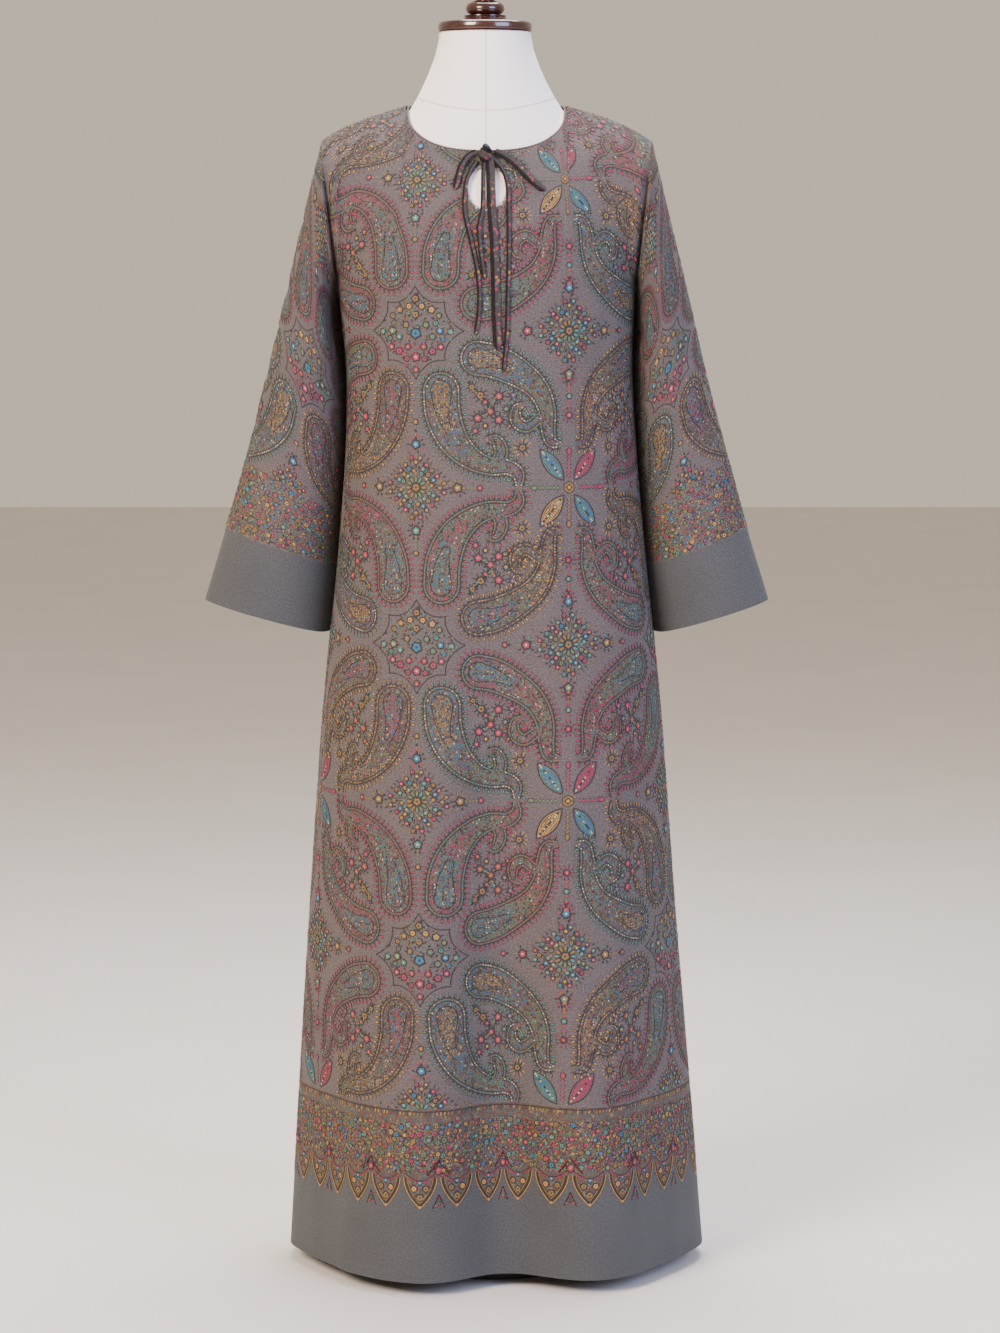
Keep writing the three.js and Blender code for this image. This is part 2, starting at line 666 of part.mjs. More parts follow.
// Rolled edge round the neckline, from one side of the slit round the back to the other
function neckBinding() {
  const middle = middle_column;
  const first = middle - neck_columns;
  const last = middle + neck_columns;
  const steps = (from, to) => evenSteps(from, to, Math.abs(to - from));
  const right = steps(middle + 1, last).map((column) => bindingPlace('front', column));
  const back = steps(last - 1, first + 1).map((column) => bindingPlace('back', column));
  const left = steps(first, middle - 1).map((column) => bindingPlace('front', column));
  const centre = bindingPlace('front', middle);
  const slitEnd = (next, edge_x) => {
    const share = (edge_x - centre.point.x) / (next.point.x - centre.point.x);
    return { point: centre.point.clone().lerp(next.point, share), outward: centre.outward };
  };
  const reach = keyhole.slit_width / 2 + seam_gap;
  const places = [
    slitEnd(right[0], keyhole.x + reach), ...right, ...back, ...left,
    slitEnd(left[left.length - 1], keyhole.x - reach),
  ];
  return tube(places.map((place) => place.point), places.map((place) => place.outward),
    binding_radius, binding_radius, 8);
}

// Point and outward direction of the front at a place seen from the front
function frontPointAt(x, z) {
  let across = x / shoulder_tip.x;
  let level = z - underarm_height;
  for (let pass = 0; pass < 12; pass += 1) {
    const here = bodyPoint('front', across, level);
    across = THREE.MathUtils.clamp(across + (x - here.x) / shoulder_tip.x, -1, 1);
    level = Math.min(level + (z - here.z), upper_length);
  }
  return { point: bodyPoint('front', across, level), normal: bodyNormal('front', across, level) };
}

// Tie along its route, laid flat on the front and off it by its lift
function tieTube({ width, thickness, route }, steps) {
  const smooth_route = new THREE.CatmullRomCurve3(route.map(({ x, z, lift }) => new THREE.Vector3(x, lift, z)));
  const places = smooth_route.getSpacedPoints(steps).map(({ x, y: lift, z }) => {
    const { point, normal } = frontPointAt(x, z);
    return { point: point.addScaledVector(normal, lift), outward: normal };
  });
  return tube(places.map((place) => place.point), places.map((place) => place.outward),
    width / 2, thickness / 2, 8);
}

function tieKnot() {
  const { x, z, half_width, half_height, half_depth, lift } = tie_knot;
  const { point, normal } = frontPointAt(x, z);
  const geometry = new THREE.SphereGeometry(1, 14, 10);
  geometry.scale(half_width, half_depth, half_height);
  const seat = point.addScaledVector(normal, lift);
  geometry.translate(seat.x, seat.y, seat.z);
  return geometry;
}

// Dress form: smooth torso inside the cloth, with flat arm plates and a neck
function formInset(z) {
  return smoothValue(form_insets, 'z', 'inset', z);
}

function formUpperPoint(side, across, k) {
  const level = k * upper_length;
  const wall = bodyWall(side, across, level);
  const on_armhole = Math.abs(across) > 1 - 1e-6;
  const upper_inset = form_upper_inset + form_side_inset * Math.abs(across) ** 6;
  const inset = THREE.MathUtils.lerp(formInset(underarm_height), upper_inset, Math.min(k * 4, 1));
  const point = bodyPoint(side, across, level).addScaledVector(wall, -inset);
  if (on_armhole) point.x -= Math.sign(across) * form_upper_inset;
  const on_neckline = k === 1 && Math.abs(across) <= neck_share;
  if (on_neckline) point.addScaledVector(neckRim(side, across), form_neck_margin);
  return point;
}

function formTorso() {
  const positions = [];
  const quad = (a, b, c, d) => {
    for (const corner of [a, b, c, a, c, d]) positions.push(corner.x, corner.y, corner.z);
  };
  const grid = (rows) => {
    for (let j = 0; j < rows.length - 1; j += 1) {
      for (let i = 0; i < rows[j].length - 1; i += 1) {
        quad(rows[j][i], rows[j][i + 1], rows[j + 1][i + 1], rows[j + 1][i]);
      }
    }
  };
  const underarm = (side, across) => formUpperPoint(side, across, 0);
  const lower_heights = evenSteps(form_bottom_height, underarm_height - 60, 6);
  const neck_loop = [];
  for (const side of ['front', 'back']) {
    const rows = lower_heights.map((z) => columns_across.map((s) => ringPoint(side, s, z, false, formInset(z))));
    rows.push(columns_across.map((s) => underarm(side, s)));
    for (const k of evenSteps(0, 1, upper_rows).slice(1)) {
      rows.push(columns_across.map((s) => formUpperPoint(side, s, k)));
    }
    if (side === 'back') rows.forEach((row) => row.reverse());
    grid(rows);
    const top = rows[rows.length - 1];
    neck_loop.push(...top.slice(middle_column - neck_columns, middle_column + neck_columns));
    const middle = new THREE.Vector3(ringMiddle(form_bottom_height), 0, form_bottom_height);
    for (let i = 0; i < rows[0].length - 1; i += 1) {
      const corners = [rows[0][i + 1], rows[0][i], middle];
      for (const corner of corners) positions.push(corner.x, corner.y, corner.z);
    }
  }
  for (const sign of [-1, 1]) {
    const front = evenSteps(0, 1, upper_rows).map((k) => formUpperPoint('front', sign, k));
    const back = evenSteps(1, 0, upper_rows).slice(1, -1).map((k) => formUpperPoint('back', sign, k));
    const ring = [...front, ...back];
    const middle = ring.reduce((sum, point) => sum.add(point), new THREE.Vector3()).divideScalar(ring.length);
    ring.forEach((point, i) => {
      const next = ring[(i + 1) % ring.length];
      const corners = sign > 0 ? [point, middle, next] : [point, next, middle];
      for (const corner of corners) positions.push(corner.x, corner.y, corner.z);
    });
  }
  addNeck(positions, neck_loop, quad);
  return outwardGeometry(positions);
}

// Neck of the form: from the loop at the neckline up to a round top, closed with a flat disc
function addNeck(positions, neck_loop, quad) {
  const steps = 8;
  const loop_middle = new THREE.Vector3(0, neck_point.y, 0);
  const tops = neck_loop.map((point) => {
    const angle = Math.atan2(point.y - loop_middle.y, point.x - loop_middle.x);
    return new THREE.Vector3(
      neck_top.x + neck_top.radius * Math.cos(angle),
      neck_top.y + neck_top.radius * Math.sin(angle),
      neck_top_height - seam_gap,
    );
  });
  const columnPoint = (index, k) => {
    const bottom = neck_loop[index];
    const top = tops[index];
    const inward = top.clone().sub(bottom).setZ(0);
    const length = bottom.distanceTo(top);
    const start = inward.clone().multiplyScalar(1.35).setZ(length * 0.75);
    const end = new THREE.Vector3(0, 0, length * 0.75);
    return bottom.clone().multiplyScalar(2 * k ** 3 - 3 * k ** 2 + 1)
      .addScaledVector(start, k ** 3 - 2 * k ** 2 + k)
      .addScaledVector(top, 3 * k ** 2 - 2 * k ** 3)
      .addScaledVector(end, k ** 3 - k ** 2);
  };
  const middle = new THREE.Vector3(neck_top.x, neck_top.y, neck_top_height - seam_gap);
  neck_loop.forEach((_, index) => {
    const next = (index + 1) % neck_loop.length;
    for (let j = 0; j < steps; j += 1) {
      const low = j / steps;
      const high = (j + 1) / steps;
      const low_left = j === 0 ? neck_loop[index] : columnPoint(index, low);
      const low_right = j === 0 ? neck_loop[next] : columnPoint(next, low);
      const high_right = j === steps - 1 ? tops[next] : columnPoint(next, high);
      const high_left = j === steps - 1 ? tops[index] : columnPoint(index, high);
      quad(low_left, low_right, high_right, high_left);
    }
    for (const corner of [tops[index], tops[next], middle]) positions.push(corner.x, corner.y, corner.z);
  });
}

// Turned piece from its profile of radius and height, standing on its seat
function turned(profile, seat, segments) {
  const points = profile.map(([radius, height]) => new THREE.Vector2(radius, height));
  const geometry = new THREE.LatheGeometry(points, segments);
  geometry.rotateX(Math.PI / 2);
  geometry.translate(seat.x, seat.y, seat.z);
  return geometry;
}

// Dark wood cap on the neck: a disc with a rounded rim under a low cone
function neckCap() {
  const profile = [
    [0, 0], [54, 0], [56, 1.5], [57, 5], [56.6, 9], [54.5, 11.6], [50, 12.6],
    [30, 15.2], [25.6, 17.4], [24, 20], [0, 20],
  ];
  return turned(profile, { x: neck_top.x, y: neck_top.y, z: neck_top_height }, 32);
}

// Squat bulb with a small knob on top
function finial() {
  const profile = [
    [0, 0], [15, 0], [21, 2.2], [23.4, 6], [23.4, 9.5], [21, 13.4], [16, 16.2], [12.2, 17.6], [11.2, 19.6],
    [13, 21.4], [16.4, 23.6], [18, 28], [17.4, 34], [14, 40.5], [8, 45], [3, 46.8], [0, 47.2],
  ];
  const seat = { x: neck_top.x, y: neck_top.y, z: neck_top_height + 20 + seam_gap };
  return turned(profile, seat, 24);
}

function standPole() {
  const bottom = stand_base.thickness + seam_gap;
  const top = form_bottom_height - seam_gap;
  const geometry = new THREE.CylinderGeometry(stand_pole_radius, stand_pole_radius, top - bottom, 24);
  geometry.rotateX(Math.PI / 2);
  geometry.translate(ringMiddle(form_bottom_height), 0, (top + bottom) / 2);
  return geometry;
}

function standBase() {
  const { radius, thickness, edge } = stand_base;
  const profile = [
    [0, 0], [radius, 0], [radius, thickness - edge], [radius - edge / 3, thickness - edge / 3],
    [radius - edge, thickness], [0, thickness],
  ];
  return turned(profile, { x: ringMiddle(form_bottom_height), y: 0, z: 0 }, 48);
}

// Named mesh with its own material
const garment = new THREE.Group();
function addPiece(name, geometry, look) {
  const mesh = new THREE.Mesh(geometry, new THREE.MeshStandardMaterial(look));
  mesh.name = name;
  garment.add(mesh);
}

addPiece('body_front', frontWithKeyhole(), cloth_look);
addPiece('body_back', mainPanel('back'), cloth_look);
addPiece('hem_front', hemPanel('front'), cloth_look);
addPiece('hem_back', hemPanel('back'), cloth_look);
for (const [side_name, sign] of [['left', -1], ['right', 1]]) {
  addPiece(`sleeve_${side_name}`, sleevePanel(sign, 0, cuff_seam_along, sleeve_steps), cloth_look);
  addPiece(`cuff_${side_name}`, sleevePanel(sign, cuff_seam_along, cuff_end_along, cuff_steps), plain_cloth_look);
}
addPiece('neck_binding', neckBinding(), tie_look);
addPiece('tie_knot', tieKnot(), tie_look);
for (const tie of tie_loops) addPiece(tie.name, tieTube(tie, 8), tie_look);
for (const tie of tie_routes) addPiece(tie.name, tieTube(tie, 12), tie_look);
addPiece('form_torso', formTorso(), form_look);
addPiece('neck_cap', neckCap(), wood_look);
addPiece('finial', finial(), wood_look);
addPiece('stand_pole', standPole(), iron_look);
addPiece('stand_base', standBase(), iron_look);

export default garment;
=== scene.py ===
import functools
import math

import bmesh
import bpy
import numpy as np
from mathutils import Matrix, Vector


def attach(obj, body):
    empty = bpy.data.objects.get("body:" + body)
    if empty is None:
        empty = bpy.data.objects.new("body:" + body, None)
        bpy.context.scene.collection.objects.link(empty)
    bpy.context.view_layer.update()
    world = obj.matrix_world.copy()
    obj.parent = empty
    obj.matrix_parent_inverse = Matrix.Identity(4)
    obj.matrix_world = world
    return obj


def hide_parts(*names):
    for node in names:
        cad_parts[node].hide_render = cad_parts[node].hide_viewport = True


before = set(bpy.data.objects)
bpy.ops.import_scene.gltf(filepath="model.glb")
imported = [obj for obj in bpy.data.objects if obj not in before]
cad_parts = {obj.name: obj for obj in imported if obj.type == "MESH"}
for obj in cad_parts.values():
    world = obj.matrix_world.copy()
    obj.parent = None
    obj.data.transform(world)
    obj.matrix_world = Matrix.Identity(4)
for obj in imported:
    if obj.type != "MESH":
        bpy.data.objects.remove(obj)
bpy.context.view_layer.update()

bl_info = {
    "name": "Kaftan on a dress form",
    "version": (1, 0, 0),
    "blender": (4, 5, 0),
    "location": "View3D > Sidebar > Kaftan",
    "description": "Builds a patterned kaftan with a tied keyhole neck on a limbless dress form",
    "category": "Object",
}

MM = 0.001

# Heights of the garment, in millimetres
HEM_HEIGHT = 18
BORDER_SEAM_HEIGHT = 224
BORDER_EDGE_HEIGHT = 108
UNDERARM_HEIGHT = 1204
FORM_BOTTOM_HEIGHT = 740
NECK_TOP_HEIGHT = 1504
UPPER_LENGTH = 170
NECK_SHARE = 0.5

# Rings of the body: height, left edge, right edge, front depth, back depth, squareness
RING_LEFT, RING_RIGHT, RING_SQUARE = 1, 2, 5
BODY_OUTLINE = np.array([
    (18, 244, 268, 241, 217.6, 2.0),
    (224, 232, 251, 219, 190, 2.0),
    (445, 218, 232, 199, 171, 2.0),
    (693, 200, 213, 177, 152, 2.05),
    (878, 181, 194, 155, 138, 2.15),
    (1000, 172, 183, 139, 122, 2.2),
    (1100, 171, 178, 131, 111, 2.25),
    (1204, 181, 181, 133, 112, 2.3),
])

# Long soft folds of the skirt: turn from the front centre, half width in degrees, depth, top height
SKIRT_FOLDS = (
    (4, 19, 72, 1090), (-60, 9, 5, 720), (57, 9, 6, 760), (116, 11, 9, 820),
    (152, 14, 30, 960), (203, 15, 34, 990), (243, 11, 10, 840),
)
FOLD_SHARPNESS = 2.6
SIDE_RIDGE_DEPTH, SIDE_RIDGE_HALF_WIDTH, SIDE_RIDGE_TOP = 14, 13, 900

# Shoulder and neck, in millimetres and degrees
SHOULDER_TIP = np.array((199.0, 0.0, 1374.0))
NECK_POINT = np.array((97.0, 4.0, 1416.0))
SHOULDER_TIP_ROUNDING = 11
FRONT_NECK_DROP, FRONT_NECK_SQUARE = 57, 2.5
BACK_NECK_REACH, BACK_NECK_DROP, BACK_NECK_ROUND = 60, 4, 1.3
RIDGE_RISE = 14
SHOULDER_SLOPE, MIDDLE_SLOPE = 25, 36
ARMHOLE_PULL = 4

# Steps for measuring a slope, and how often the search for the neckline halves its span
RISE_STEP, NORMAL_STEPS, NECK_STEP, RUN_STEP = 4, (0.002, 1.3), 0.004, 0.4
HALVINGS = 26

# Rings of the sleeve: along, outer x, outer z, inner z, gap left, gap right, depth, forward
OUTER_X, OUTER_Z, INNER_Z, GAP_LEFT, GAP_RIGHT, SLEEVE_DEPTH, SLEEVE_FORWARD = range(1, 8)
SLEEVE_RINGS = np.array([
    (0, 199, 1374, 1204, 0, 0, 64, 0),
    (75, 217, 1303, 1160, 10.5, 5.5, 67, 1),
    (200, 246, 1182, 1072, 6, 4, 65, 3),
    (325, 275, 1061, 978, 6, 4, 60, 6),
    (490, 318, 906, 862, 8, 4, 53, 10),
    (580, 344, 819, 779, 9, 8, 50, 12),
])
# The back of the sleeve lies behind the body's side there, so no light shows between them
SLEEVE_WRAP_AROUND, SLEEVE_WRAP_SPREAD = 214, 26
SLEEVE_WRAP_SHARE, SLEEVE_WRAP_OVERLAP, SLEEVE_WRAP_START = 0.17, 2.5, (5, 60)
# Where the sleeve's seam and the middle of its front lie round it
SLEEVE_SEAM_AROUND, SLEEVE_FRONT_AROUND = 180, 450
# The cloth sinks along the front of each armhole seam: depth and width of the valley and its ridges
VALLEY_DEPTH, VALLEY_WIDTH, RIDGE_LIFT, RIDGE_PLACE, RIDGE_WIDTH = 7, 4.5, 3.5, 12, 6
# Heights over which the valley starts above the underarm and ends below the shoulder
VALLEY_START, VALLEY_END = (1205, 1222), (1362, 1320)
# How much closer a grid's columns lie at the body's edges, and its rows at the chest and armhole
EDGE_CROWDING, UPPER_CROWDING, SLEEVE_CROWDING = 1.25, 1.25, 1.35
# Columns and rows of each panel's grid
GRID_SIZES = {
    "front_cloth": (121, 200), "back_cloth": (107, 176), "front_border": (131, 40), "back_border": (115, 40),
    "sleeve": (97, 110), "cuff": (97, 24),
}
CUFF_SEAM_ALONG = 490
CUFF_END_ALONG = 580

# Folds across the sleeve: along, length, depth, around, spread
SLEEVE_FOLDS = (
    (95, 20, 3.5, 90, 55), (165, 24, 3, 60, 50), (250, 26, 4, 130, 60),
    (340, 24, 3, 60, 55), (215, 26, 4, 270, 60), (330, 24, 3, 250, 60),
)

# Keyhole under the neckline, and the slit that joins it to the neckline
KEYHOLE_X, KEYHOLE_Z, KEYHOLE_HALF_WIDTH, KEYHOLE_HALF_HEIGHT, SLIT_WIDTH = 1, 1316, 22.5, 26, 4
BINDING_RADIUS, BINDING_GAP, BINDING_SINK = 1.3, 0.6, 0.8
# The cutter of the keyhole, in metres: its depth, its place in front, and the slit's reach upwards
CUTTER_DEPTH, CUTTER_Y, CUTTER_RISE = 0.2, -0.11, 0.1
# The print keeps this far from the keyhole's edge, in millimetres
KEYHOLE_PRINT_MARGIN = 2.5

# How far the dress form stays inside the cloth, by height
FORM_INSETS = np.array([(740, 44), (800, 30), (878, 20), (1000, 12), (1100, 8), (1204, 4)])
FORM_UNDERARM_INSET, FORM_UPPER_INSET, FORM_SIDE_INSET, FORM_NECK_MARGIN = 4, 3.8, 4, 3.2
FORM_LOWER_ROWS, FORM_UPPER_ROWS = 15, 34
NECK_TOP_X, NECK_TOP_Y, NECK_TOP_RADIUS = -1.5, 2, 55.5
# How steeply the form's neck leaves its shoulders: outwards and upwards
NECK_FLARE, NECK_RISE = 1.35, 0.75
# The seam round the form's neck dips towards the middle, per metre squared
SEAM_CURVE = 2.35
# Gap between neighbouring parts
PART_GAP = 0.3

# Creases in the flat cloth of the front, the back and a sleeve: start u and v, end u and v, half
# width and depth, where a depth below zero is a ridge
FRONT_CREASES = (
    (-168, 1196, -118, 1030, 15, 2.2), (-150, 1150, -70, 1010, 14, -1.4),
    (166, 1198, 122, 1020, 15, 2.4), (150, 1160, 84, 1000, 14, -1.4),
    (-70, 940, -92, 560, 20, 2.4), (-92, 560, -128, 250, 24, 2.8), (-130, 900, -160, 420, 20, -2.2),
    (94, 960, 108, 600, 18, 2.4), (108, 600, 146, 250, 24, 3.0), (150, 860, 190, 380, 22, -2.4),
    (-196, 820, -236, 330, 20, 2.2), (205, 800, 250, 300, 20, 2.4), (-20, 1000, -26, 700, 22, -1.4),
    (-110, 1392, -60, 1330, 14, 1.4), (112, 1392, 66, 1335, 14, 1.4),
)
BACK_CREASES = (
    (-150, 1190, -100, 1000, 16, 2.2), (150, 1190, 100, 1000, 16, 2.2), (-60, 1080, -84, 520, 22, 2.6),
    (66, 1080, 92, 520, 22, 2.6), (0, 1000, 4, 420, 24, -2.4), (-140, 860, -176, 300, 22, -2.4),
    (146, 860, 180, 300, 22, 2.4), (-84, 520, -120, 250, 24, 2.4), (92, 520, 118, 250, 24, 2.4),
)
SLEEVE_CREASES = (
    (40, 1290, -46, 1236, 10, 2.0), (52, 1215, -30, 1166, 11, 1.8), (-60, 1180, 36, 1128, 11, 1.8),
    (50, 1110, -44, 1062, 11, 1.6), (-52, 1040, 30, 1010, 10, 1.4), (140, 1250, 90, 1160, 14, 1.8),
    (-130, 1200, -96, 1080, 14, 1.6), (120, 1060, 150, 980, 14, 1.4),
)

# Soft waves of the cloth: height, how far apart, how much they wander and over what length, length, lean
SOFT_WAVES = ((0.5, 31, 1.4, 57, 71, 90), (0.35, 13, 2, 83, 120, -60))
CREASE_BEND, CREASE_BEND_LENGTH, CREASE_END_SHARE, SEAM_MARGIN = 5, 47, 0.35, 0.06
# The cloth is smooth behind the ties: from their half width outwards, and below them
TIES_SMOOTH_WIDTH, TIES_SMOOTH_HEIGHT, FRONT_LIMIT_Y = (28, 60), (1120, 1060), -40
# Part of the front that the ties may lie on: reach to each side and lowest level under the underarm
TIES_REACH, TIES_LOWEST_LEVEL = 0.6, -130
# How a place is found on a grid: steps, longest step in cells, smallest size, and a miss in millimetres
FIND_STEPS, FIND_REACH, TINY, FIND_MISS = 9, 12, 1e-6, 0.4
# Points nearer than this, in metres, are merged
WELD_DISTANCE, FORM_WELD_DISTANCE = 1e-6, 1e-4

# The printed repeat, in millimetres: it is mirrored about both of its column lines and both rows
REPEAT_WIDTH, REPEAT_HEIGHT = 370, 371
COLUMN_U, STAR_ROW_V = -85, 776
# Tongues along the border's lower edge, and the band of flowers over each cuff
BORDER_PITCH, TONGUE_HEIGHT, TONGUE_HALF_WIDTH = 44, 36, 19.5
CUFF_BAND, CUFF_BAND_SPACING = 92, 8.8
# Height of each layer of the print over the one below
LAYER_STEP = 0.11
# Small filling in the printed drops: spacing, distance from the outline, the core's share of the length,
# and the chance of a dark bit, or above the second of a bright one
FILL_SPACING, FILL_INSET, CORE_SHARE, DARK_CHANCE, BRIGHT_CHANCE = 3.0, 4.6, 0.26, 0.3, 0.96
# Tints of the ground where the filling shows, and how much of it shows
DROP_TINTS, BORDER_TINT = ("#3f4a45", "#4a4130", "#4c373a", "#3f3d46"), "#453a33"
FILLING_EDGE, DROP_FILLING, BORDER_FILLING = (0.02, 0.16), 0.8, 0.9


def unit(vectors):
    """Vectors brought to a length of one"""
    return vectors / np.linalg.norm(vectors, axis=-1, keepdims=True)


def float_arrays(first, second):
    """Two values as arrays of one shape"""
    return np.broadcast_arrays(np.asarray(first, float), np.asarray(second, float))


def turned(x, y, angle):
    """Points turned about the origin"""
    return np.stack((x * np.cos(angle) - y * np.sin(angle), x * np.sin(angle) + y * np.cos(angle)), axis=-1)


def circle(angle):
    """Points on a circle with a radius of one"""
    return turned(1, 0, angle)


def hermite(k, start, start_slope, end, end_slope):
    """Smooth step from start to end, with the given slopes at both"""
    k2, k3 = k * k, k * k * k
    return (
        (2 * k3 - 3 * k2 + 1) * start + (k3 - 2 * k2 + k) * start_slope
        + (3 * k2 - 2 * k3) * end + (k3 - k2) * end_slope
    )


def smooth_value(table, column, place):
    """Smooth value of a column at a place between the rows of a table"""
    keys, values = table[:, 0], table[:, column]
    slopes = np.gradient(values, keys)
    slopes[1:-1] = (values[2:] - values[:-2]) / (keys[2:] - keys[:-2])
    row = np.clip(np.searchsorted(keys, place, side="left") - 1, 0, len(keys) - 2)
    span = keys[row + 1] - keys[row]
    k = np.clip((place - keys[row]) / span, 0, 1)
    return hermite(k, values[row], slopes[row] * span, values[row + 1], slopes[row + 1] * span)


def smooth_step(low, high, value):
    """0 below low, 1 above high and smooth between them"""
    k = np.clip((value - low) / (high - low), 0, 1)
    return k * k * (3 - 2 * k)


def fold_fade(z, top):
    """Share of a fold that is left at a height"""
    k = np.clip((z - HEM_HEIGHT) / (top - HEM_HEIGHT), 0, 1)
    return (1 + np.cos(np.pi * k)) / 2


def fold_share(turn, fold_turn, half_width):
    """How much of a fold is felt at a turn"""
    away = np.abs((turn - fold_turn + 180) % 360 - 180)
    return np.exp(-((away / half_width) ** FOLD_SHARPNESS))


def ring_radius(z, turn, with_folds=True):
    """Radius of the body ring at a height and a turn from the front centre"""
    columns = range(RING_LEFT, RING_SQUARE + 1)
    left, right, front, back, square = (smooth_value(BODY_OUTLINE, column, z) for column in columns)
    angle = np.radians(turn)
    depth = np.where(np.cos(angle) >= 0, front, back)
    ridge = SIDE_RIDGE_DEPTH * fold_fade(z, SIDE_RIDGE_TOP)
    half_width = (left + right) / 2 - ridge
    across = np.abs(np.sin(angle) / half_width) ** square
    through = np.abs(np.cos(angle) / depth) ** square
    radius = (across + through) ** (-1 / square)
    if not with_folds:
        return radius
    for side_turn in (-90, 90):
        radius = radius + ridge * fold_share(turn, side_turn, SIDE_RIDGE_HALF_WIDTH)
    for fold_turn, half_turn, fold_depth, top in SKIRT_FOLDS:
        radius = radius - fold_depth * fold_fade(z, top) * fold_share(turn, fold_turn, half_turn)
    return radius


def ring_middle(z):
    """Sideways shift of the ring's middle at a height"""
    right = smooth_value(BODY_OUTLINE, RING_RIGHT, z)
    return (right - smooth_value(BODY_OUTLINE, RING_LEFT, z)) / 2


def ring_point(side, across, z, with_folds=True, inset=0):
    """Point of the body ring: across runs from -1 at the left side seam to 1 at the right one"""
    turn = 90 * across if side == "front" else 180 - 90 * across
    turn, z = np.broadcast_arrays(turn, z)
    radius = ring_radius(z, turn, with_folds) - inset
    angle = np.radians(turn)
    return np.stack((ring_middle(z) + radius * np.sin(angle), -radius * np.cos(angle), z + 0.0), axis=-1)


def neck_middle_share(across):
    """Share of the way from the neck points to the middle of the neck"""
    return np.cos(np.pi / 2 * np.minimum(np.abs(across) / NECK_SHARE, 1))


def ridge_point(across):
    """Line over both shoulders, carried on across the neck"""
    reach = np.abs(across)
    sign = np.where(across < 0, -1, 1)
    k = np.clip((reach - NECK_SHARE) / (1 - NECK_SHARE), 0, 1)
    drop = NECK_POINT[2] - SHOULDER_TIP[2] - SHOULDER_TIP_ROUNDING
    over = reach > NECK_SHARE
    shoulder_x = sign * (NECK_POINT[0] + (SHOULDER_TIP[0] - NECK_POINT[0]) * k)
    x = np.where(over, shoulder_x, NECK_POINT[0] * across / NECK_SHARE)
    y = np.where(over, NECK_POINT[1] + (SHOULDER_TIP[1] - NECK_POINT[1]) * k, NECK_POINT[1])
    shoulder_z = NECK_POINT[2] - drop * k - SHOULDER_TIP_ROUNDING * k ** 4
    z = np.where(over, shoulder_z, NECK_POINT[2] + RIDGE_RISE * neck_middle_share(across) ** 2)
    return np.stack((x, y, z), axis=-1)


def sheet_point(side, across, k):
    """Smooth sheet from the underarm ring (0) over the chest or back to the ridge (1)"""
    across, k = float_arrays(across, k)
    facing = 1 if side == "front" else -1
    bottom = ring_point(side, across, UNDERARM_HEIGHT)
    below = ring_point(side, across, UNDERARM_HEIGHT - RISE_STEP)
    top = ridge_point(across)
    length = np.linalg.norm(top - bottom, axis=-1, keepdims=True)
    rise = unit(bottom - below) * length
    middle = (1 + np.cos(np.pi * np.minimum(np.abs(across), 1))) / 2
    slope = np.radians(SHOULDER_SLOPE + (MIDDLE_SLOPE - SHOULDER_SLOPE) * middle)
    over = np.stack((np.zeros_like(slope), facing * np.cos(slope), np.sin(slope)), axis=-1) * length
    return hermite(k[..., None], bottom, rise, top, over)


def front_neck_limit(across):
    """How far up the sheet a column of the front runs before it meets the neckline"""
    across = np.asarray(across, float)
    low, high = np.zeros_like(across), np.ones_like(across)
    for _ in range(HALVINGS):
        middle = (low + high) / 2
        point = sheet_point("front", across, middle)
        reach = np.minimum(np.abs(point[..., 0]) / NECK_POINT[0], 1)
        neck = (1 - reach ** FRONT_NECK_SQUARE) ** (1 / FRONT_NECK_SQUARE)
        under = point[..., 2] < NECK_POINT[2] - FRONT_NECK_DROP * neck
        low, high = np.where(under, middle, low), np.where(under, high, middle)
    return np.where(np.abs(across) >= NECK_SHARE, 1, high)


def sleeve_point(sign, around, along):
    """Point of the sleeve: around is 0 on its outer edge, 90 in front and 180 on its inner edge"""
    around, along = float_arrays(around, along)
    columns = (OUTER_X, OUTER_Z, INNER_Z, GAP_LEFT if sign < 0 else GAP_RIGHT, SLEEVE_DEPTH, SLEEVE_FORWARD)
    outer_x, outer_z, inner_z, gap, depth, forward = (
        smooth_value(SLEEVE_RINGS, column, along) for column in columns)
    inner_x = smooth_value(BODY_OUTLINE, RING_LEFT if sign < 0 else RING_RIGHT, inner_z) + gap
    angle = np.radians(around)
    share = np.ones_like(around)
    for fold_along, length, fold_depth, fold_around, spread in SLEEVE_FOLDS:
        near = np.exp(-(((along - fold_along) / length) ** 2))
        share = share - fold_depth / depth * near * fold_share(around, fold_around, spread)
    half_width = (outer_x - inner_x) / 2
    x = sign * ((outer_x + inner_x) / 2 + half_width * np.cos(angle))
    behind = np.exp(-(((around % 360 - SLEEVE_WRAP_AROUND) / SLEEVE_WRAP_SPREAD) ** 2))
    reach = gap + SLEEVE_WRAP_OVERLAP + SLEEVE_WRAP_SHARE * half_width
    x = x - sign * reach * behind * smooth_step(*SLEEVE_WRAP_START, along)
    y = -forward - depth * share * np.sin(angle)
    z = (outer_z + inner_z) / 2 + (outer_z - inner_z) / 2 * np.cos(angle)
    return np.stack((x, y, z), axis=-1)


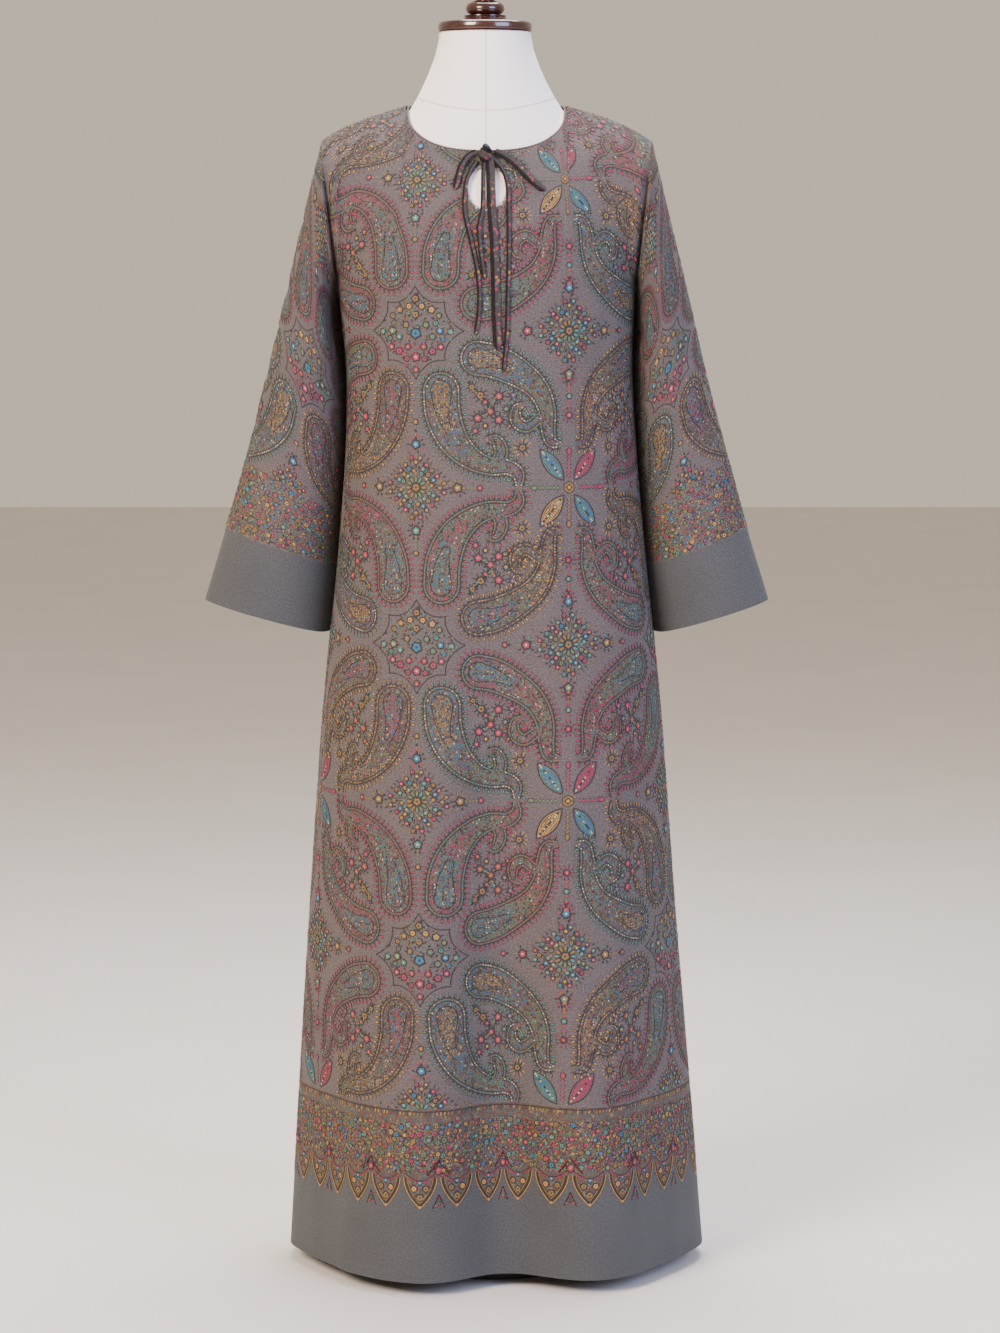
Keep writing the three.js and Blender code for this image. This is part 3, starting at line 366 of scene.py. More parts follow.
def upper_point(side, across, k):
    """Upper part of the front or back, from the underarm ring (0) to its upper edge (1)"""
    across, k = float_arrays(across, k)
    sign = np.where(across < 0, -1.0, 1.0)
    around = 180 * (1 - k) if side == "front" else 180 * (1 + k)
    armhole = np.where(sign[..., None] < 0, sleeve_point(-1, around, 0), sleeve_point(1, around, 0))
    edge_share = np.arctan2(np.abs(armhole[..., 0]), np.abs(armhole[..., 1])) / (np.pi / 2)
    narrowed = across * (1 - (1 - edge_share) * across ** 2)
    limit = front_neck_limit(across) if side == "front" else np.ones_like(across)
    point = sheet_point(side, narrowed, k * (1 - (1 - limit) * (1 + k) / 2))
    if side == "back":
        share = neck_middle_share(across)
        drop = (RIDGE_RISE + BACK_NECK_DROP) * share ** 2
        reach = BACK_NECK_REACH * share ** BACK_NECK_ROUND
        point = point + np.stack((np.zeros_like(share), reach, -drop), axis=-1) * k[..., None] ** 3
    edge = sheet_point(side, sign * edge_share, k)
    return point + (armhole - edge) * np.abs(across)[..., None] ** ARMHOLE_PULL


def body_point(side, across, level):
    """Point of the body's outer face: level is the height over the underarm ring"""
    across, level = float_arrays(across, level)
    lower = ring_point(side, across, UNDERARM_HEIGHT + np.minimum(level, 0))
    upper = upper_point(side, across, np.clip(level / UPPER_LENGTH, 0, 1))
    return np.where(level[..., None] <= 0, lower, upper)


def body_normal(side, across, level):
    """Outward normal of the body's outer face"""
    across, level = float_arrays(across, level)
    step_across, step_up = NORMAL_STEPS
    right = body_point(side, np.minimum(across + step_across, 1), level)
    left = body_point(side, np.maximum(across - step_across, -1), level)
    above = body_point(side, across, np.minimum(level + step_up, UPPER_LENGTH))
    below = body_point(side, across, np.maximum(level - step_up, HEM_HEIGHT - UNDERARM_HEIGHT))
    normal = unit(np.cross(right - left, above - below))
    return normal if side == "front" else -normal


class ClothGrid:
    """Fine grid of a panel's outer face, with each point's place (u, v) on the flat cloth"""

    def __init__(self, points, u, v, creases=(), edge_fade=(True, True, True, True)):
        self.u, self.v = u, v
        self.points = points
        self.normals = self.outward_normals()
        self.points = points + self.normals * self.crease_lift(creases, edge_fade)[..., None]
        self.normals = self.outward_normals()
        self.faces_out = np.gradient(u, axis=1).mean() * np.gradient(v, axis=0).mean() > 0

    def outward_normals(self):
        """Normals from the grid's own edges"""
        return unit(np.cross(np.gradient(self.points, axis=1), np.gradient(self.points, axis=0)))

    def crease_lift(self, creases, edge_fade):
        """Height of the soft creases over the plain form, which fade out at the seams"""
        lift = np.zeros_like(self.u)
        for height, apart, wander, wander_length, length, lean in SOFT_WAVES:
            swell = np.sin(self.u / apart + wander * np.sin(self.v / wander_length))
            lift = lift + height * swell * np.sin(self.v / length + self.u / lean)
        for u0, v0, u1, v1, half_width, depth in creases:
            run = np.array((u1 - u0, v1 - v0), float)
            length = np.hypot(*run)
            run = run / length
            along = (self.u - u0) * run[0] + (self.v - v0) * run[1]
            bend = CREASE_BEND * np.sin(along / CREASE_BEND_LENGTH + u0)
            away = (self.u - u0) * run[1] - (self.v - v0) * run[0] + bend
            end = CREASE_END_SHARE * length
            ends = smooth_step(0, end, along) * smooth_step(0, end, length - along)
            lift = lift - depth * ends * np.exp(-((away / half_width) ** 2))
        rows, columns = self.u.shape
        down, across = np.linspace(0, 1, rows)[:, None], np.linspace(0, 1, columns)
        for place, fades in zip((across, 1 - across, down, 1 - down), edge_fade):
            if fades:
                lift = lift * smooth_step(0, SEAM_MARGIN, place)
        x, y, z = np.moveaxis(self.points, -1, 0)
        near_ties = smooth_step(*TIES_SMOOTH_WIDTH, np.abs(x)) + smooth_step(*TIES_SMOOTH_HEIGHT, z)
        return np.where(y < FRONT_LIMIT_Y, lift * np.clip(near_ties, 0, 1), lift)

    def sample(self, values, i, j):
        """Value at a place between the grid's points"""
        rows, columns = self.u.shape
        i0 = np.clip(np.floor(i).astype(int), 0, columns - 2)
        j0 = np.clip(np.floor(j).astype(int), 0, rows - 2)
        fi, fj = i - i0, j - j0
        if values.ndim == 3:
            fi, fj = fi[..., None], fj[..., None]
        low = values[j0, i0] * (1 - fi) + values[j0, i0 + 1] * fi
        high = values[j0 + 1, i0] * (1 - fi) + values[j0 + 1, i0 + 1] * fi
        return low * (1 - fj) + high * fj

    def find(self, u, v):
        """Grid place of each (u, v), and whether it lies on the panel"""
        rows, columns = self.u.shape
        middle_u, middle_v = self.u[rows // 2], self.v[:, columns // 2]
        order_u, order_v = np.argsort(middle_u), np.argsort(middle_v)
        i = np.interp(u, middle_u[order_u], np.arange(columns)[order_u])
        j = np.interp(v, middle_v[order_v], np.arange(rows)[order_v])
        slopes = [np.gradient(values, axis=axis) for values in (self.u, self.v) for axis in (1, 0)]
        for _ in range(FIND_STEPS):
            miss_u = u - self.sample(self.u, i, j)
            miss_v = v - self.sample(self.v, i, j)
            u_i, u_j, v_i, v_j = (self.sample(slope, i, j) for slope in slopes)
            size = u_i * v_j - u_j * v_i
            size = np.where(np.abs(size) < TINY, TINY, size)
            step_i = np.clip((miss_u * v_j - miss_v * u_j) / size, -FIND_REACH, FIND_REACH)
            step_j = np.clip((miss_v * u_i - miss_u * v_i) / size, -FIND_REACH, FIND_REACH)
            i, j = np.clip(i + step_i, 0, columns - 1), np.clip(j + step_j, 0, rows - 1)
        miss = np.hypot(u - self.sample(self.u, i, j), v - self.sample(self.v, i, j))
        return i, j, miss < FIND_MISS

    def place(self, i, j, lift):
        """Points over the panel by their lift, and its outward directions there"""
        normals = unit(self.sample(self.normals, i, j))
        return self.sample(self.points, i, j) + normals * np.asarray(lift)[..., None], normals

    def area(self):
        """Area of the panel in square metres"""
        falling = self.points[1:, 1:] - self.points[:-1, :-1]
        rising = self.points[1:, :-1] - self.points[:-1, 1:]
        return float(np.linalg.norm(np.cross(falling, rising), axis=-1).sum() / 2 * MM * MM)


def arc_lengths(points, axis):
    """Running length along one axis of a grid of points, from its first point"""
    steps = np.linalg.norm(np.diff(points, axis=axis), axis=-1)
    start = np.zeros_like(np.take(steps, [0], axis=axis))
    return np.concatenate((start, np.cumsum(steps, axis=axis)), axis=axis)


def armhole_valley(points, from_seam, seam_z):
    """Panel with the valley along the front of its armhole seam sunk into it"""
    valley = VALLEY_DEPTH * np.exp(-((from_seam / VALLEY_WIDTH) ** 2))
    valley = valley - RIDGE_LIFT * np.exp(-(((from_seam - RIDGE_PLACE) / RIDGE_WIDTH) ** 2))
    sunk = points.copy()
    sunk[..., 1] += valley * smooth_step(*VALLEY_START, seam_z) * smooth_step(*VALLEY_END, seam_z)
    return sunk


def body_grid(side, low, high, columns, rows, creases, fade_low, fade_high):
    """Grid of the front or back between two heights over the underarm ring"""
    across = np.linspace(-1, 1, columns) * (1 if side == "front" else -1)
    across = across * (EDGE_CROWDING - (EDGE_CROWDING - 1) * across ** 2)
    upper_rows = round(rows * max(high, 0) / (high - low) * UPPER_CROWDING)
    levels = np.linspace(low, min(high, 0), rows - upper_rows)
    if upper_rows:
        levels = np.concatenate((levels, np.linspace(0, high, upper_rows + 1)[1:]))
    grid_across, grid_level = np.meshgrid(across, levels)
    points = body_point(side, grid_across, grid_level)
    ring = ring_point(side, grid_across, UNDERARM_HEIGHT + np.minimum(grid_level, 0), with_folds=False)
    plain = np.where(grid_level[..., None] <= 0, ring, points)
    middle = columns // 2
    folded_u, plain_u = arc_lengths(points, 1), arc_lengths(plain, 1)
    u = (folded_u - folded_u[:, [middle]] + plain_u - plain_u[:, [middle]]) / 2
    u = u + (points[:, [middle], 0] if side == "front" else COLUMN_U)
    v = UNDERARM_HEIGHT + grid_level
    if upper_rows:
        base = int(np.searchsorted(levels, 0))
        lengths = arc_lengths(points[base:], 0)
        v = np.concatenate((v[:base], UNDERARM_HEIGHT + lengths + np.minimum(levels[base], 0)), axis=0)
    if side == "front":
        for edge in (0, -1):
            seam_z = np.where(grid_level > 0, points[:, [edge], 2], 0)
            points = armhole_valley(points, np.abs(folded_u - folded_u[:, [edge]]), seam_z)
    return ClothGrid(points, u, v, creases, (True, True, fade_low, fade_high))


def sleeve_grid(sign, start, end, columns, rows, creases, fade_low, fade_high):
    """Grid of a sleeve or cuff, opened at its underarm seam"""
    around = np.linspace(SLEEVE_SEAM_AROUND, SLEEVE_SEAM_AROUND + 360, columns)[::sign]
    down = np.linspace(0, 1, rows) ** (1 if start else SLEEVE_CROWDING)
    grid_around, grid_along = np.meshgrid(around, start + (end - start) * down)
    points = sleeve_point(sign, grid_around, grid_along)
    u = arc_lengths(points, 1)
    front = int(np.argmin(np.abs(around - SLEEVE_FRONT_AROUND)))
    u = u - u[:, [front]] + COLUMN_U
    v = SHOULDER_TIP[2] - grid_along
    in_front = np.sin(np.radians(grid_around)) > 0
    seam_z = np.where(in_front, sleeve_point(sign, grid_around, 0)[..., 2], 0)
    points = armhole_valley(points, grid_along, seam_z)
    return ClothGrid(points, u, v, creases, (True, True, fade_low, fade_high))


# Shapes of the print, each a flat shape of one millimetre that is turned, sized and coloured
BAR, LOZENGE, DOT, LEAF, FLORET = range(5)
LEAF_CORNERS = ((0.5, 0), (0.18, 0.42), (-0.2, 0.42), (-0.5, 0), (-0.2, -0.42), (0.18, -0.42))
DYES = {
    "outline": "#1b1718", "brown": "#3b2d1f", "ochre": "#6d5228", "gold": "#946f30", "cream": "#98967c",
    "rose": "#7a2b3b", "magenta": "#871c40", "coral": "#73342a", "teal": "#34655f", "blue": "#185877",
    "sage": "#4a5a3d", "violet": "#463650", "navy": "#1c243b",
}
DYE_NAMES = list(DYES)


def linear_colour(hex_value):
    """Linear colour of an sRGB hex value"""
    parts = [int(hex_value[at:at + 2], 16) / 255 for at in (1, 3, 5)]
    return tuple(c / 12.92 if c <= 0.04045 else ((c + 0.055) / 1.055) ** 2.4 for c in parts) + (1.0,)


def stamp_shapes():
    """Outline points of each small shape, made once and copied wherever the print needs it"""
    shapes = []
    for kind in (BAR, LOZENGE, DOT, LEAF, FLORET):
        shape = bmesh.new()
        if kind == BAR:
            bmesh.ops.create_grid(shape, x_segments=1, y_segments=1, size=0.5)
            bmesh.ops.delete(shape, geom=shape.faces[:], context="FACES_ONLY")
        else:
            corners = {LOZENGE: 4, DOT: 6, LEAF: 6, FLORET: 10}[kind]
            bmesh.ops.create_circle(shape, segments=corners, radius=0.5)
        corners = np.array([vertex.co[:2] for vertex in shape.verts])
        shape.free()
        corners = corners[np.argsort(np.arctan2(corners[:, 1], corners[:, 0]))]
        if kind == LEAF:
            corners = np.array(LEAF_CORNERS)
        if kind == FLORET:
            corners[1::2] *= 0.78
        shapes.append(corners)
    return shapes


def stamps(kind, x, y, angle, length, width, dye, layer=0):
    """Rows of the stamp table; any of the values may be one number for all"""
    if isinstance(dye, str):
        dye = DYE_NAMES.index(dye)
    columns = np.broadcast_arrays(kind, x, y, angle, length, width, dye, layer)
    return np.stack([np.atleast_1d(column).astype(float) for column in columns], axis=-1).reshape(-1, 8)


def pick(names, count, rng):
    """Dye numbers picked from some names"""
    return rng.choice([DYE_NAMES.index(name) for name in names], count)


def resample(line, spacing):
    """Points at even spacing on a line, and the direction of the line there"""
    line = np.asarray(line, float)
    along = arc_lengths(line, 0)
    count = max(int(round(along[-1] / spacing)), 1)
    places = (np.arange(count) + 0.5) * along[-1] / count
    points, ahead, behind = (
        np.stack([np.interp(places + step, along, values) for values in line.T], axis=1)
        for step in (0, RUN_STEP, -RUN_STEP)
    )
    run = ahead - behind
    return points, run / np.maximum(np.linalg.norm(run, axis=1, keepdims=True), TINY)


def smooth_line(points, steps=12):
    """Smooth line through some points"""
    points = np.asarray(points, float)
    padded = np.concatenate((2 * points[:1] - points[1:2], points, 2 * points[-1:] - points[-2:-1]))
    slopes = (padded[2:] - padded[:-2]) / 2
    k = np.linspace(0, 1, steps, endpoint=False)[:, None]
    parts = [
        hermite(k, points[i], slopes[i], points[i + 1], slopes[i + 1]) for i in range(len(points) - 1)
    ]
    return np.concatenate(parts + [points[-1:]])


def line_of(line, kind, spacing, length, width, dye, layer=0, shift=0.0, turn=0.0, rng=None):
    """Stamps along a line: shift moves them to its right-hand side, and dye may be several names"""
    points, run = resample(line, spacing)
    x, y = points[:, 0] + run[:, 1] * shift, points[:, 1] - run[:, 0] * shift
    angle = np.arctan2(run[:, 1], run[:, 0]) + turn
    if not isinstance(dye, str):
        dye = pick(dye, len(points), rng)
    return stamps(kind, x, y, angle, length, width, dye, layer)


def smooth_widths(widths, steps):
    """Smooth run of widths"""
    return smooth_line(np.array(widths)[:, None], steps)[:, 0]


def drop_outline(spine, half_widths):
    """Closed outline round a bent spine: up its left, round the head at its start, and back"""
    run = unit(np.gradient(spine, axis=0))
    left = np.stack((-run[:, 1], run[:, 0]), axis=1)
    start = math.atan2(left[0, 1], left[0, 0])
    cap = spine[0] + half_widths[0] * circle(start + np.linspace(0, np.pi, 16)[1:-1])
    side = left * half_widths[:, None]
    return np.concatenate(((spine + side)[::-1], cap, spine - side))


def in_drop(rows, spine, half_widths):
    """Which stamps lie inside a drop"""
    away = np.linalg.norm(rows[:, None, 1:3] - spine[None], axis=2)
    return away.min(axis=1) < half_widths[away.argmin(axis=1)] - 0.5


def paisley(drops, fringe, beads, fill, core, rng):
    """Drop with a curl beside its tip: beaded double outline, fringe of hairs, dense filling and core"""
    shapes = [(smooth_line(points, 8), smooth_widths(widths, 8)) for points, widths in drops]
    lines, fillings = [], []
    for index, (spine, half) in enumerate(shapes):
        outline = drop_outline(spine, half)
        rows = [
            line_of(outline, BAR, 3.0, 3.4, 1.0, "outline", 2),
            line_of(outline, LEAF, 6.2, 7.4, 3.3, "outline", 1, shift=3.9, turn=np.pi / 2),
            line_of(outline, LEAF, 6.2, 4.9, 2.1, fringe, 3, shift=4.5, turn=np.pi / 2, rng=rng),
        ]
        for inset, kind, spacing, length, width, dye in (
            (1.9, LOZENGE, 3.7, 2.5, 1.9, beads), (3.7, BAR, 3.3, 3.6, 0.75, "outline"),
        ):
            wide = half > inset + 2
            inner = drop_outline(spine[wide], half[wide] - inset)
            rows.append(line_of(inner, kind, spacing, length, width, dye, 2, rng=rng))
        rows = np.concatenate(rows)
        for other, (far_spine, far_half) in enumerate(shapes):
            if other != index:
                rows = rows[~in_drop(rows, far_spine, far_half)]
        lines.append(rows)
        low, high = outline.min(axis=0), outline.max(axis=0)
        columns = (np.arange(low[axis], high[axis], FILL_SPACING) for axis in (0, 1))
        grid = np.stack(np.meshgrid(*columns), axis=-1).reshape(-1, 2)
        places = grid + rng.uniform(-0.9, 0.9, grid.shape)
        away = np.linalg.norm(places[:, None] - spine[None], axis=2)
        nearest = away.argmin(axis=1)
        reach = away.min(axis=1) / np.maximum(half[nearest] - FILL_INSET, 0.1)
        places, nearest, reach = places[reach < 1], nearest[reach < 1], reach[reach < 1]
        count = len(places)
        band = np.cos(nearest / len(spine) * 9 + reach * 2.4) > 0.1
        dyes = np.where(band, pick(fill[:2], count, rng), pick(fill[2:], count, rng))
        if index == 0:
            in_core = (reach < 0.62) & (nearest < len(spine) * CORE_SHARE)
            dyes = np.where(in_core, pick(core, count, rng), dyes)
        chance = rng.random(count)
        dyes = np.where(chance < DARK_CHANCE, DYE_NAMES.index("outline"), dyes)
        dyes = np.where(chance > BRIGHT_CHANCE, DYE_NAMES.index("cream"), dyes)
        run = np.gradient(spine, axis=0)
        lean = np.arctan2(run[nearest, 1], run[nearest, 0]) + rng.uniform(-0.9, 0.9, count)
        length, width = rng.uniform(2.1, 3.6, count), rng.uniform(1.1, 1.9, count)
        fillings.append(stamps(LOZENGE, places[:, 0], places[:, 1], lean, length, width, dyes, 1))
    spine, half = shapes[0]
    spine = spine[:max(int(len(spine) * CORE_SHARE), 3)]
    core_line = drop_outline(spine, half[:len(spine)] * np.linspace(0.56, 0.2, len(spine)))
    lines.append(line_of(core_line, BAR, 2.8, 3.1, 0.8, "outline", 2))
    return np.concatenate(fillings + lines)


def blossoms(x, y, turn, size, petals, centre, layer, edge=1.26, face=0.84, heart=0.32):
    """Five-petalled flowers with a dark edge and a bright centre, sized by shares of one size"""
    return np.concatenate((
        stamps(FLORET, x, y, turn, size * edge, size * edge, "outline", layer - 1),
        stamps(FLORET, x, y, turn, size * face, size * face, petals, layer),
        stamps(LOZENGE, x, y, turn, size * heart, size * heart, centre, layer + 1),
    ))


def floret(x, y, size, petals, centre, layer=2):
    """One small flower, turned by its place"""
    return blossoms(x, y, (x * 0.37 + y * 0.61) % 3, size, petals, centre, layer)


def ring_places(count, radius, square=2.0, start=0.0):
    """Angles and places round a ring, which is a circle at 2 and a diamond at 1"""
    angle = start + 2 * np.pi * np.arange(count) / count
    reach = radius / (np.abs(np.cos(angle)) ** square + np.abs(np.sin(angle)) ** square) ** (1 / square)
    return angle, reach * np.cos(angle), reach * np.sin(angle)


def ring_of(count, radius, kind, length, width, dye, rng, layer=2, x=0.0, y=0.0, square=2.0, start=0.0):
    """Shapes set round a ring"""
    angle, ring_x, ring_y = ring_places(count, radius, square, start)
    dyes = pick(dye, count, rng) if not isinstance(dye, str) else dye
    return stamps(kind, x + ring_x, y + ring_y, angle, length, width, dyes, layer)


# Star of the print: its corners, how hollow its sides are, and its flowers with place, size and dyes
STAR_POINTS = ((0, 53), (36, 34), (59, 0), (36, -35), (0, -58), (-36, -35), (-59, 0), (-36, 34))
STAR_HOLLOW = 7.5
STAR_FLOWERS = (
    (0, 38, 9, "ochre", "outline"), (-8, 29, 8, "gold", "coral"), (8, 29, 8, "gold", "coral"),
    (0, 19, 9, "ochre", "navy"), (-20, 25, 9, "ochre", "gold"), (20, 25, 9, "gold", "teal"),
    (-29, 18, 7, "ochre", "navy"), (29, 18, 7, "sage", "gold"), (0, -3, 13, "blue", "navy"),
    (-30, 0, 10, "sage", "cream"), (-43, -1, 8, "teal", "gold"), (-21, -7, 8, "teal", "cream"),
    (30, 0, 9, "blue", "cream"), (43, -1, 8, "teal", "gold"), (21, -7, 8, "sage", "blue"),
    (-10, -19, 8, "rose", "gold"), (10, -19, 8, "rose", "gold"), (0, -31, 11, "magenta", "cream"),
    (-21, -24, 9, "magenta", "navy"), (21, -24, 9, "rose", "navy"), (0, -46, 8, "rose", "gold"),
    (-12, 7, 8, "ochre", "teal"), (13, 7, 8, "sage", "teal"), (-31, -19, 8, "rose", "cream"),
    (31, -19, 8, "magenta", "cream"), (-11, -33, 7, "rose", "outline"), (11, -33, 7, "rose", "outline"),
    (-33, -9, 6, "teal", "outline"), (34, -10, 6, "blue", "outline"), (-28, 9, 6, "sage", "outline"),
    (25, 9, 7, "teal", "outline"),
)
# Loose flowers: place, size and dye, where None is the sprig's own bright dye
SPRIG_FLOWERS = (
    (75, 103, 10, None), (100, 105, 10, None), (90, 95, 9, None), (100, 77, 10, None),
    (117, 76, 8, "violet"), (72, 118, 7, None), (78, 76, 10, "ochre"), (113, 112, 5, "coral"),
    (128, 138, 9, "ochre"), (68, 66, 7, "ochre"), (84, 84, 6, "rose"), (109, 92, 6, "teal"),
    (84, 112, 5, "gold"),
)
# Distance of a petal's middle from the centre of its flower
PETAL_MIDDLE = 34.5


def star_medallion(rng):
    """Eight-pointed star with hollow sides, filled with flowers in four colours"""
    points = np.array(STAR_POINTS, float)
    k = np.linspace(0, 1, 14)[:, None]
    rows = []
    for start, end in zip(points, np.roll(points, -1, axis=0)):
        hollow = -STAR_HOLLOW * unit(start + end)
        line = start + (end - start) * k + hollow * (4 * k * (1 - k))
        rows.append(line_of(line, BAR, 3.0, 3.4, 1.0, "outline", 1))
    rows += [floret(*row) for row in STAR_FLOWERS]
    places = rng.uniform(-1, 1, (340, 2)) * (50, 46)
    places = places[np.abs(places).sum(axis=1) < 54]
    dyes = pick(("outline", "outline", "brown", "ochre", "sage", "teal"), len(places), rng)
    dyes = np.where((places[:, 1] < -12) & (dyes != 0), DYE_NAMES.index("rose"), dyes)
    angle = rng.uniform(0, 3, len(places))
    return np.concatenate([stamps(LEAF, places[:, 0], places[:, 1], angle, 4.4, 1.7, dyes, 1), *rows])


def flower_lozenge(rng, middle, arms, far):
    """Diamond of flowers about a square rosette, with a flower at the end of each arm"""
    rows = [
        ring_of(40, 26, LEAF, 6.6, 1.6, ("outline", "outline", "brown"), rng, 1, square=1.1),
        ring_of(44, 38, LEAF, 6.6, 1.6, ("outline", "outline", "ochre"), rng, 1, square=1.0, start=0.1),
        ring_of(40, 50, LEAF, 5.2, 1.6, ("outline", "brown", arms[0]), rng, 1, square=0.95, start=0.05),
        ring_of(12, 10, LEAF, 9, 5.4, "outline", rng, 1), ring_of(12, 10, LEAF, 7.4, 3.6, middle, rng, 2),
        ring_of(16, 16.5, LOZENGE, 4.2, 3.4, middle, rng, 3), floret(0, 0, 11, arms[0], "navy", 3),
    ]
    for count, radius, size, dyes, square, start in (
        (12, 21, 6.2, middle, 1.2, 0.13), (16, 30, 6.4, arms, 1.05, 0.0), (20, 41, 5.8, far, 0.97, 0.16),
    ):
        for index, (_, x, y) in enumerate(zip(*ring_places(count, radius, square, start))):
            heart = ("gold", "cream", "navy")[index % 3]
            rows.append(floret(x, y, size, dyes[index % len(dyes)], heart, 2))
    for index, (_, x, y) in enumerate(zip(*ring_places(4, 51))):
        rows.append(floret(x, y, 11, arms[index % len(arms)], "cream", 3))
        rows.append(ring_of(10, 9.5, LEAF, 4.6, 2.0, ("outline", far[index % len(far)]), rng, 1, x=x, y=y))
        tip = np.array(((x, y), (x * 1.4, y * 1.4))) * 1.1
        rows.append(line_of(tip, LEAF, 4.2, 4.4, 2.6, ("outline", "ochre", "sage"), 2, rng=rng))
        rows.append(floret(x * 1.52, y * 1.52, 7, far[(index + 1) % len(far)], "gold", 3))
    return np.concatenate(rows)


def four_petal_flower(rng):
    """Four pointed petals on the diagonals with bead chains between them"""
    rows = [
        stamps(DOT, 0, 0, 0, 15, 15, "outline", 1), stamps(DOT, 0, 0, 0, 13, 13, "ochre", 2),
        stamps(LOZENGE, 0, 0, 0, 9, 9, "outline", 3), stamps(DOT, 0, 0, 0, 4.4, 4.4, "gold", 4),
        ring_of(12, 9.4, LOZENGE, 2.2, 1.4, ("gold", "sage"), rng, 2),
    ]
    k = np.linspace(0, 1, 26)
    for degrees, first, second in (
        (52, "magenta", "rose"), (128, "blue", "teal"), (232, "ochre", "gold"), (308, "teal", "blue"),
    ):
        angle = math.radians(degrees)
        bulge = 9.2 * np.sin(np.pi * k) ** 0.8
        for side in (-1, 1):
            line = turned(11 + 47 * k, side * bulge, angle)
            rows.append(line_of(line, BAR, 2.2, 2.5, 0.9, "outline", 2))
            inner = line * 0.84 + 0.16 * turned(PETAL_MIDDLE, 0, angle)
            rows.append(line_of(inner, BAR, 2.2, 2.4, 0.7, second, 2))
        for across in (-4.6, -2.3, 0, 2.3, 4.6):
            reach = 20 * (1 - (abs(across) / 8.0) ** 1.6)
            line = turned(PETAL_MIDDLE + reach * np.array((-1, 1)), across, angle)
            dyes = (first, second) if across else (first, first, "cream", "outline")
            rows.append(line_of(line, LOZENGE, 2.7, 3.4, 2.5, dyes, 1 if across else 3, rng=rng))
    for quarter, dye in enumerate(("magenta", "magenta", "sage", "ochre")):
        angle = quarter * np.pi / 2
        line = turned(np.array((12, 39)), 0, angle)
        rows.append(line_of(line, DOT, 4.4, 3.2, 3.2, dye, 3))
        rows.append(line_of(line, BAR, 4.4, 5.4, 0.9, "outline", 2, turn=np.pi / 2))
        end = line[1] * 1.1
        rows += [stamps(LEAF, *end, angle, 8, 5, dye, 3), stamps(LEAF, *end, angle, 10, 7, "outline", 2)]
    return np.concatenate(rows)


def sprigs(rng, bright):
    """Loose flowers on short stems in the hollow between the drops"""
    rows, rings = [], []
    for x, y, size, dye in SPRIG_FLOWERS:
        rows.append(floret(x, y, size, dye or bright, "outline" if dye == "ochre" else "gold"))
        rings.append(ring_of(9, size * 0.78, BAR, size * 0.42, 0.9, ("outline",), rng, 1, x=x, y=y))
    rows += rings
    rows.append(ring_of(12, 9.5, BAR, 4, 1.1, ("gold", "ochre"), rng, 2, x=128, y=138))
    for end in ((62, 60), (98, 78), (75, 101)):
        line = np.array(((91, 94), ((91 + end[0]) / 2 + 2, (94 + end[1]) / 2 - 2), end))
        rows.append(line_of(line, BAR, 2.3, 2.6, 1.0, "outline", 1))
        for side, length, width, dyes in (
            (1, 5, 2.4, ("sage", "ochre", "teal")), (-1, 4.4, 1.6, ("outline", "sage")),
        ):
            beside = {"shift": 2.4 * side, "turn": 0.6 * side}
            rows.append(line_of(line, LEAF, 5, length, width, dyes, 1, rng=rng, **beside))
    for y, dye in ((56, bright), (100, "magenta")):
        rows.append(floret(185, y, 8, dye, "gold"))
        rows.append(ring_of(10, 8, BAR, 3.4, 1.0, ("rose", "magenta"), rng, 2, x=185, y=y))
    stem = np.array(((185, 62), (185, 92)))
    rows.append(line_of(stem, LEAF, 6, 6, 3.2, ("rose", "coral"), 2, turn=np.pi / 2, rng=rng))
    return np.concatenate(rows)


# Drops of the print, each with its curl: points of the spine from the head, and half widths there
LOW_DROPS = (
    (((31, 71), (32.5, 95), (40, 118), (52, 137), (70, 152), (91, 160), (111, 161), (123, 169), (124, 184)),
     (23, 22.5, 20.5, 17.5, 14, 11.5, 10, 8.5, 4.5)),
    (((98, 157), (103, 142), (97, 129), (85, 128)), (8, 9, 7.5, 4)),
)
SIDE_DROPS = (
    (((75, 32), (95, 36), (117, 46), (138, 60), (151, 76), (158, 96), (159, 116), (163, 131), (175, 135)),
     (21.5, 21, 19, 16, 13.5, 11.5, 10, 8, 4)),
    (((148, 103), (133, 113), (121, 106), (121, 92), (131, 86)), (7, 8, 8.5, 6.5, 3.5)),
)
# Dyes of a drop's fringe, beads, filling and core, and of the flower lozenges
DROP_DYES = (
    (("rose", "magenta", "coral"), ("sage", "ochre", "teal"),
     ("sage", "teal", "rose", "magenta"), ("teal", "blue")),
    (("gold", "ochre"), ("gold", "ochre", "brown"), ("ochre", "gold", "brown", "sage"), ("magenta", "blue")),
    (("sage", "teal"), ("cream", "sage", "teal"), ("sage", "teal", "blue", "violet"), ("ochre", "gold")),
    (("magenta", "rose"), ("ochre", "rose"), ("rose", "magenta", "sage", "teal"), ("blue", "teal")),
)
LOZENGE_DYES = (
    (("teal", "sage", "ochre"), ("ochre", "blue", "rose", "sage"), ("teal", "rose")),
    (("ochre", "sage", "teal"), ("ochre", "blue", "ochre", "teal"), ("ochre", "magenta")),
)


def mirrored(rows, flip_u, flip_v, u, v):
    """Stamps turned over and moved to their place in the cloth"""
    rows = rows.copy()
    if flip_u:
        rows[:, 1] *= -1
        rows[:, 3] = np.pi - rows[:, 3]
    if flip_v:
        rows[:, 2] *= -1
        rows[:, 3] *= -1
    rows[:, 1] += u
    rows[:, 2] += v
    return rows


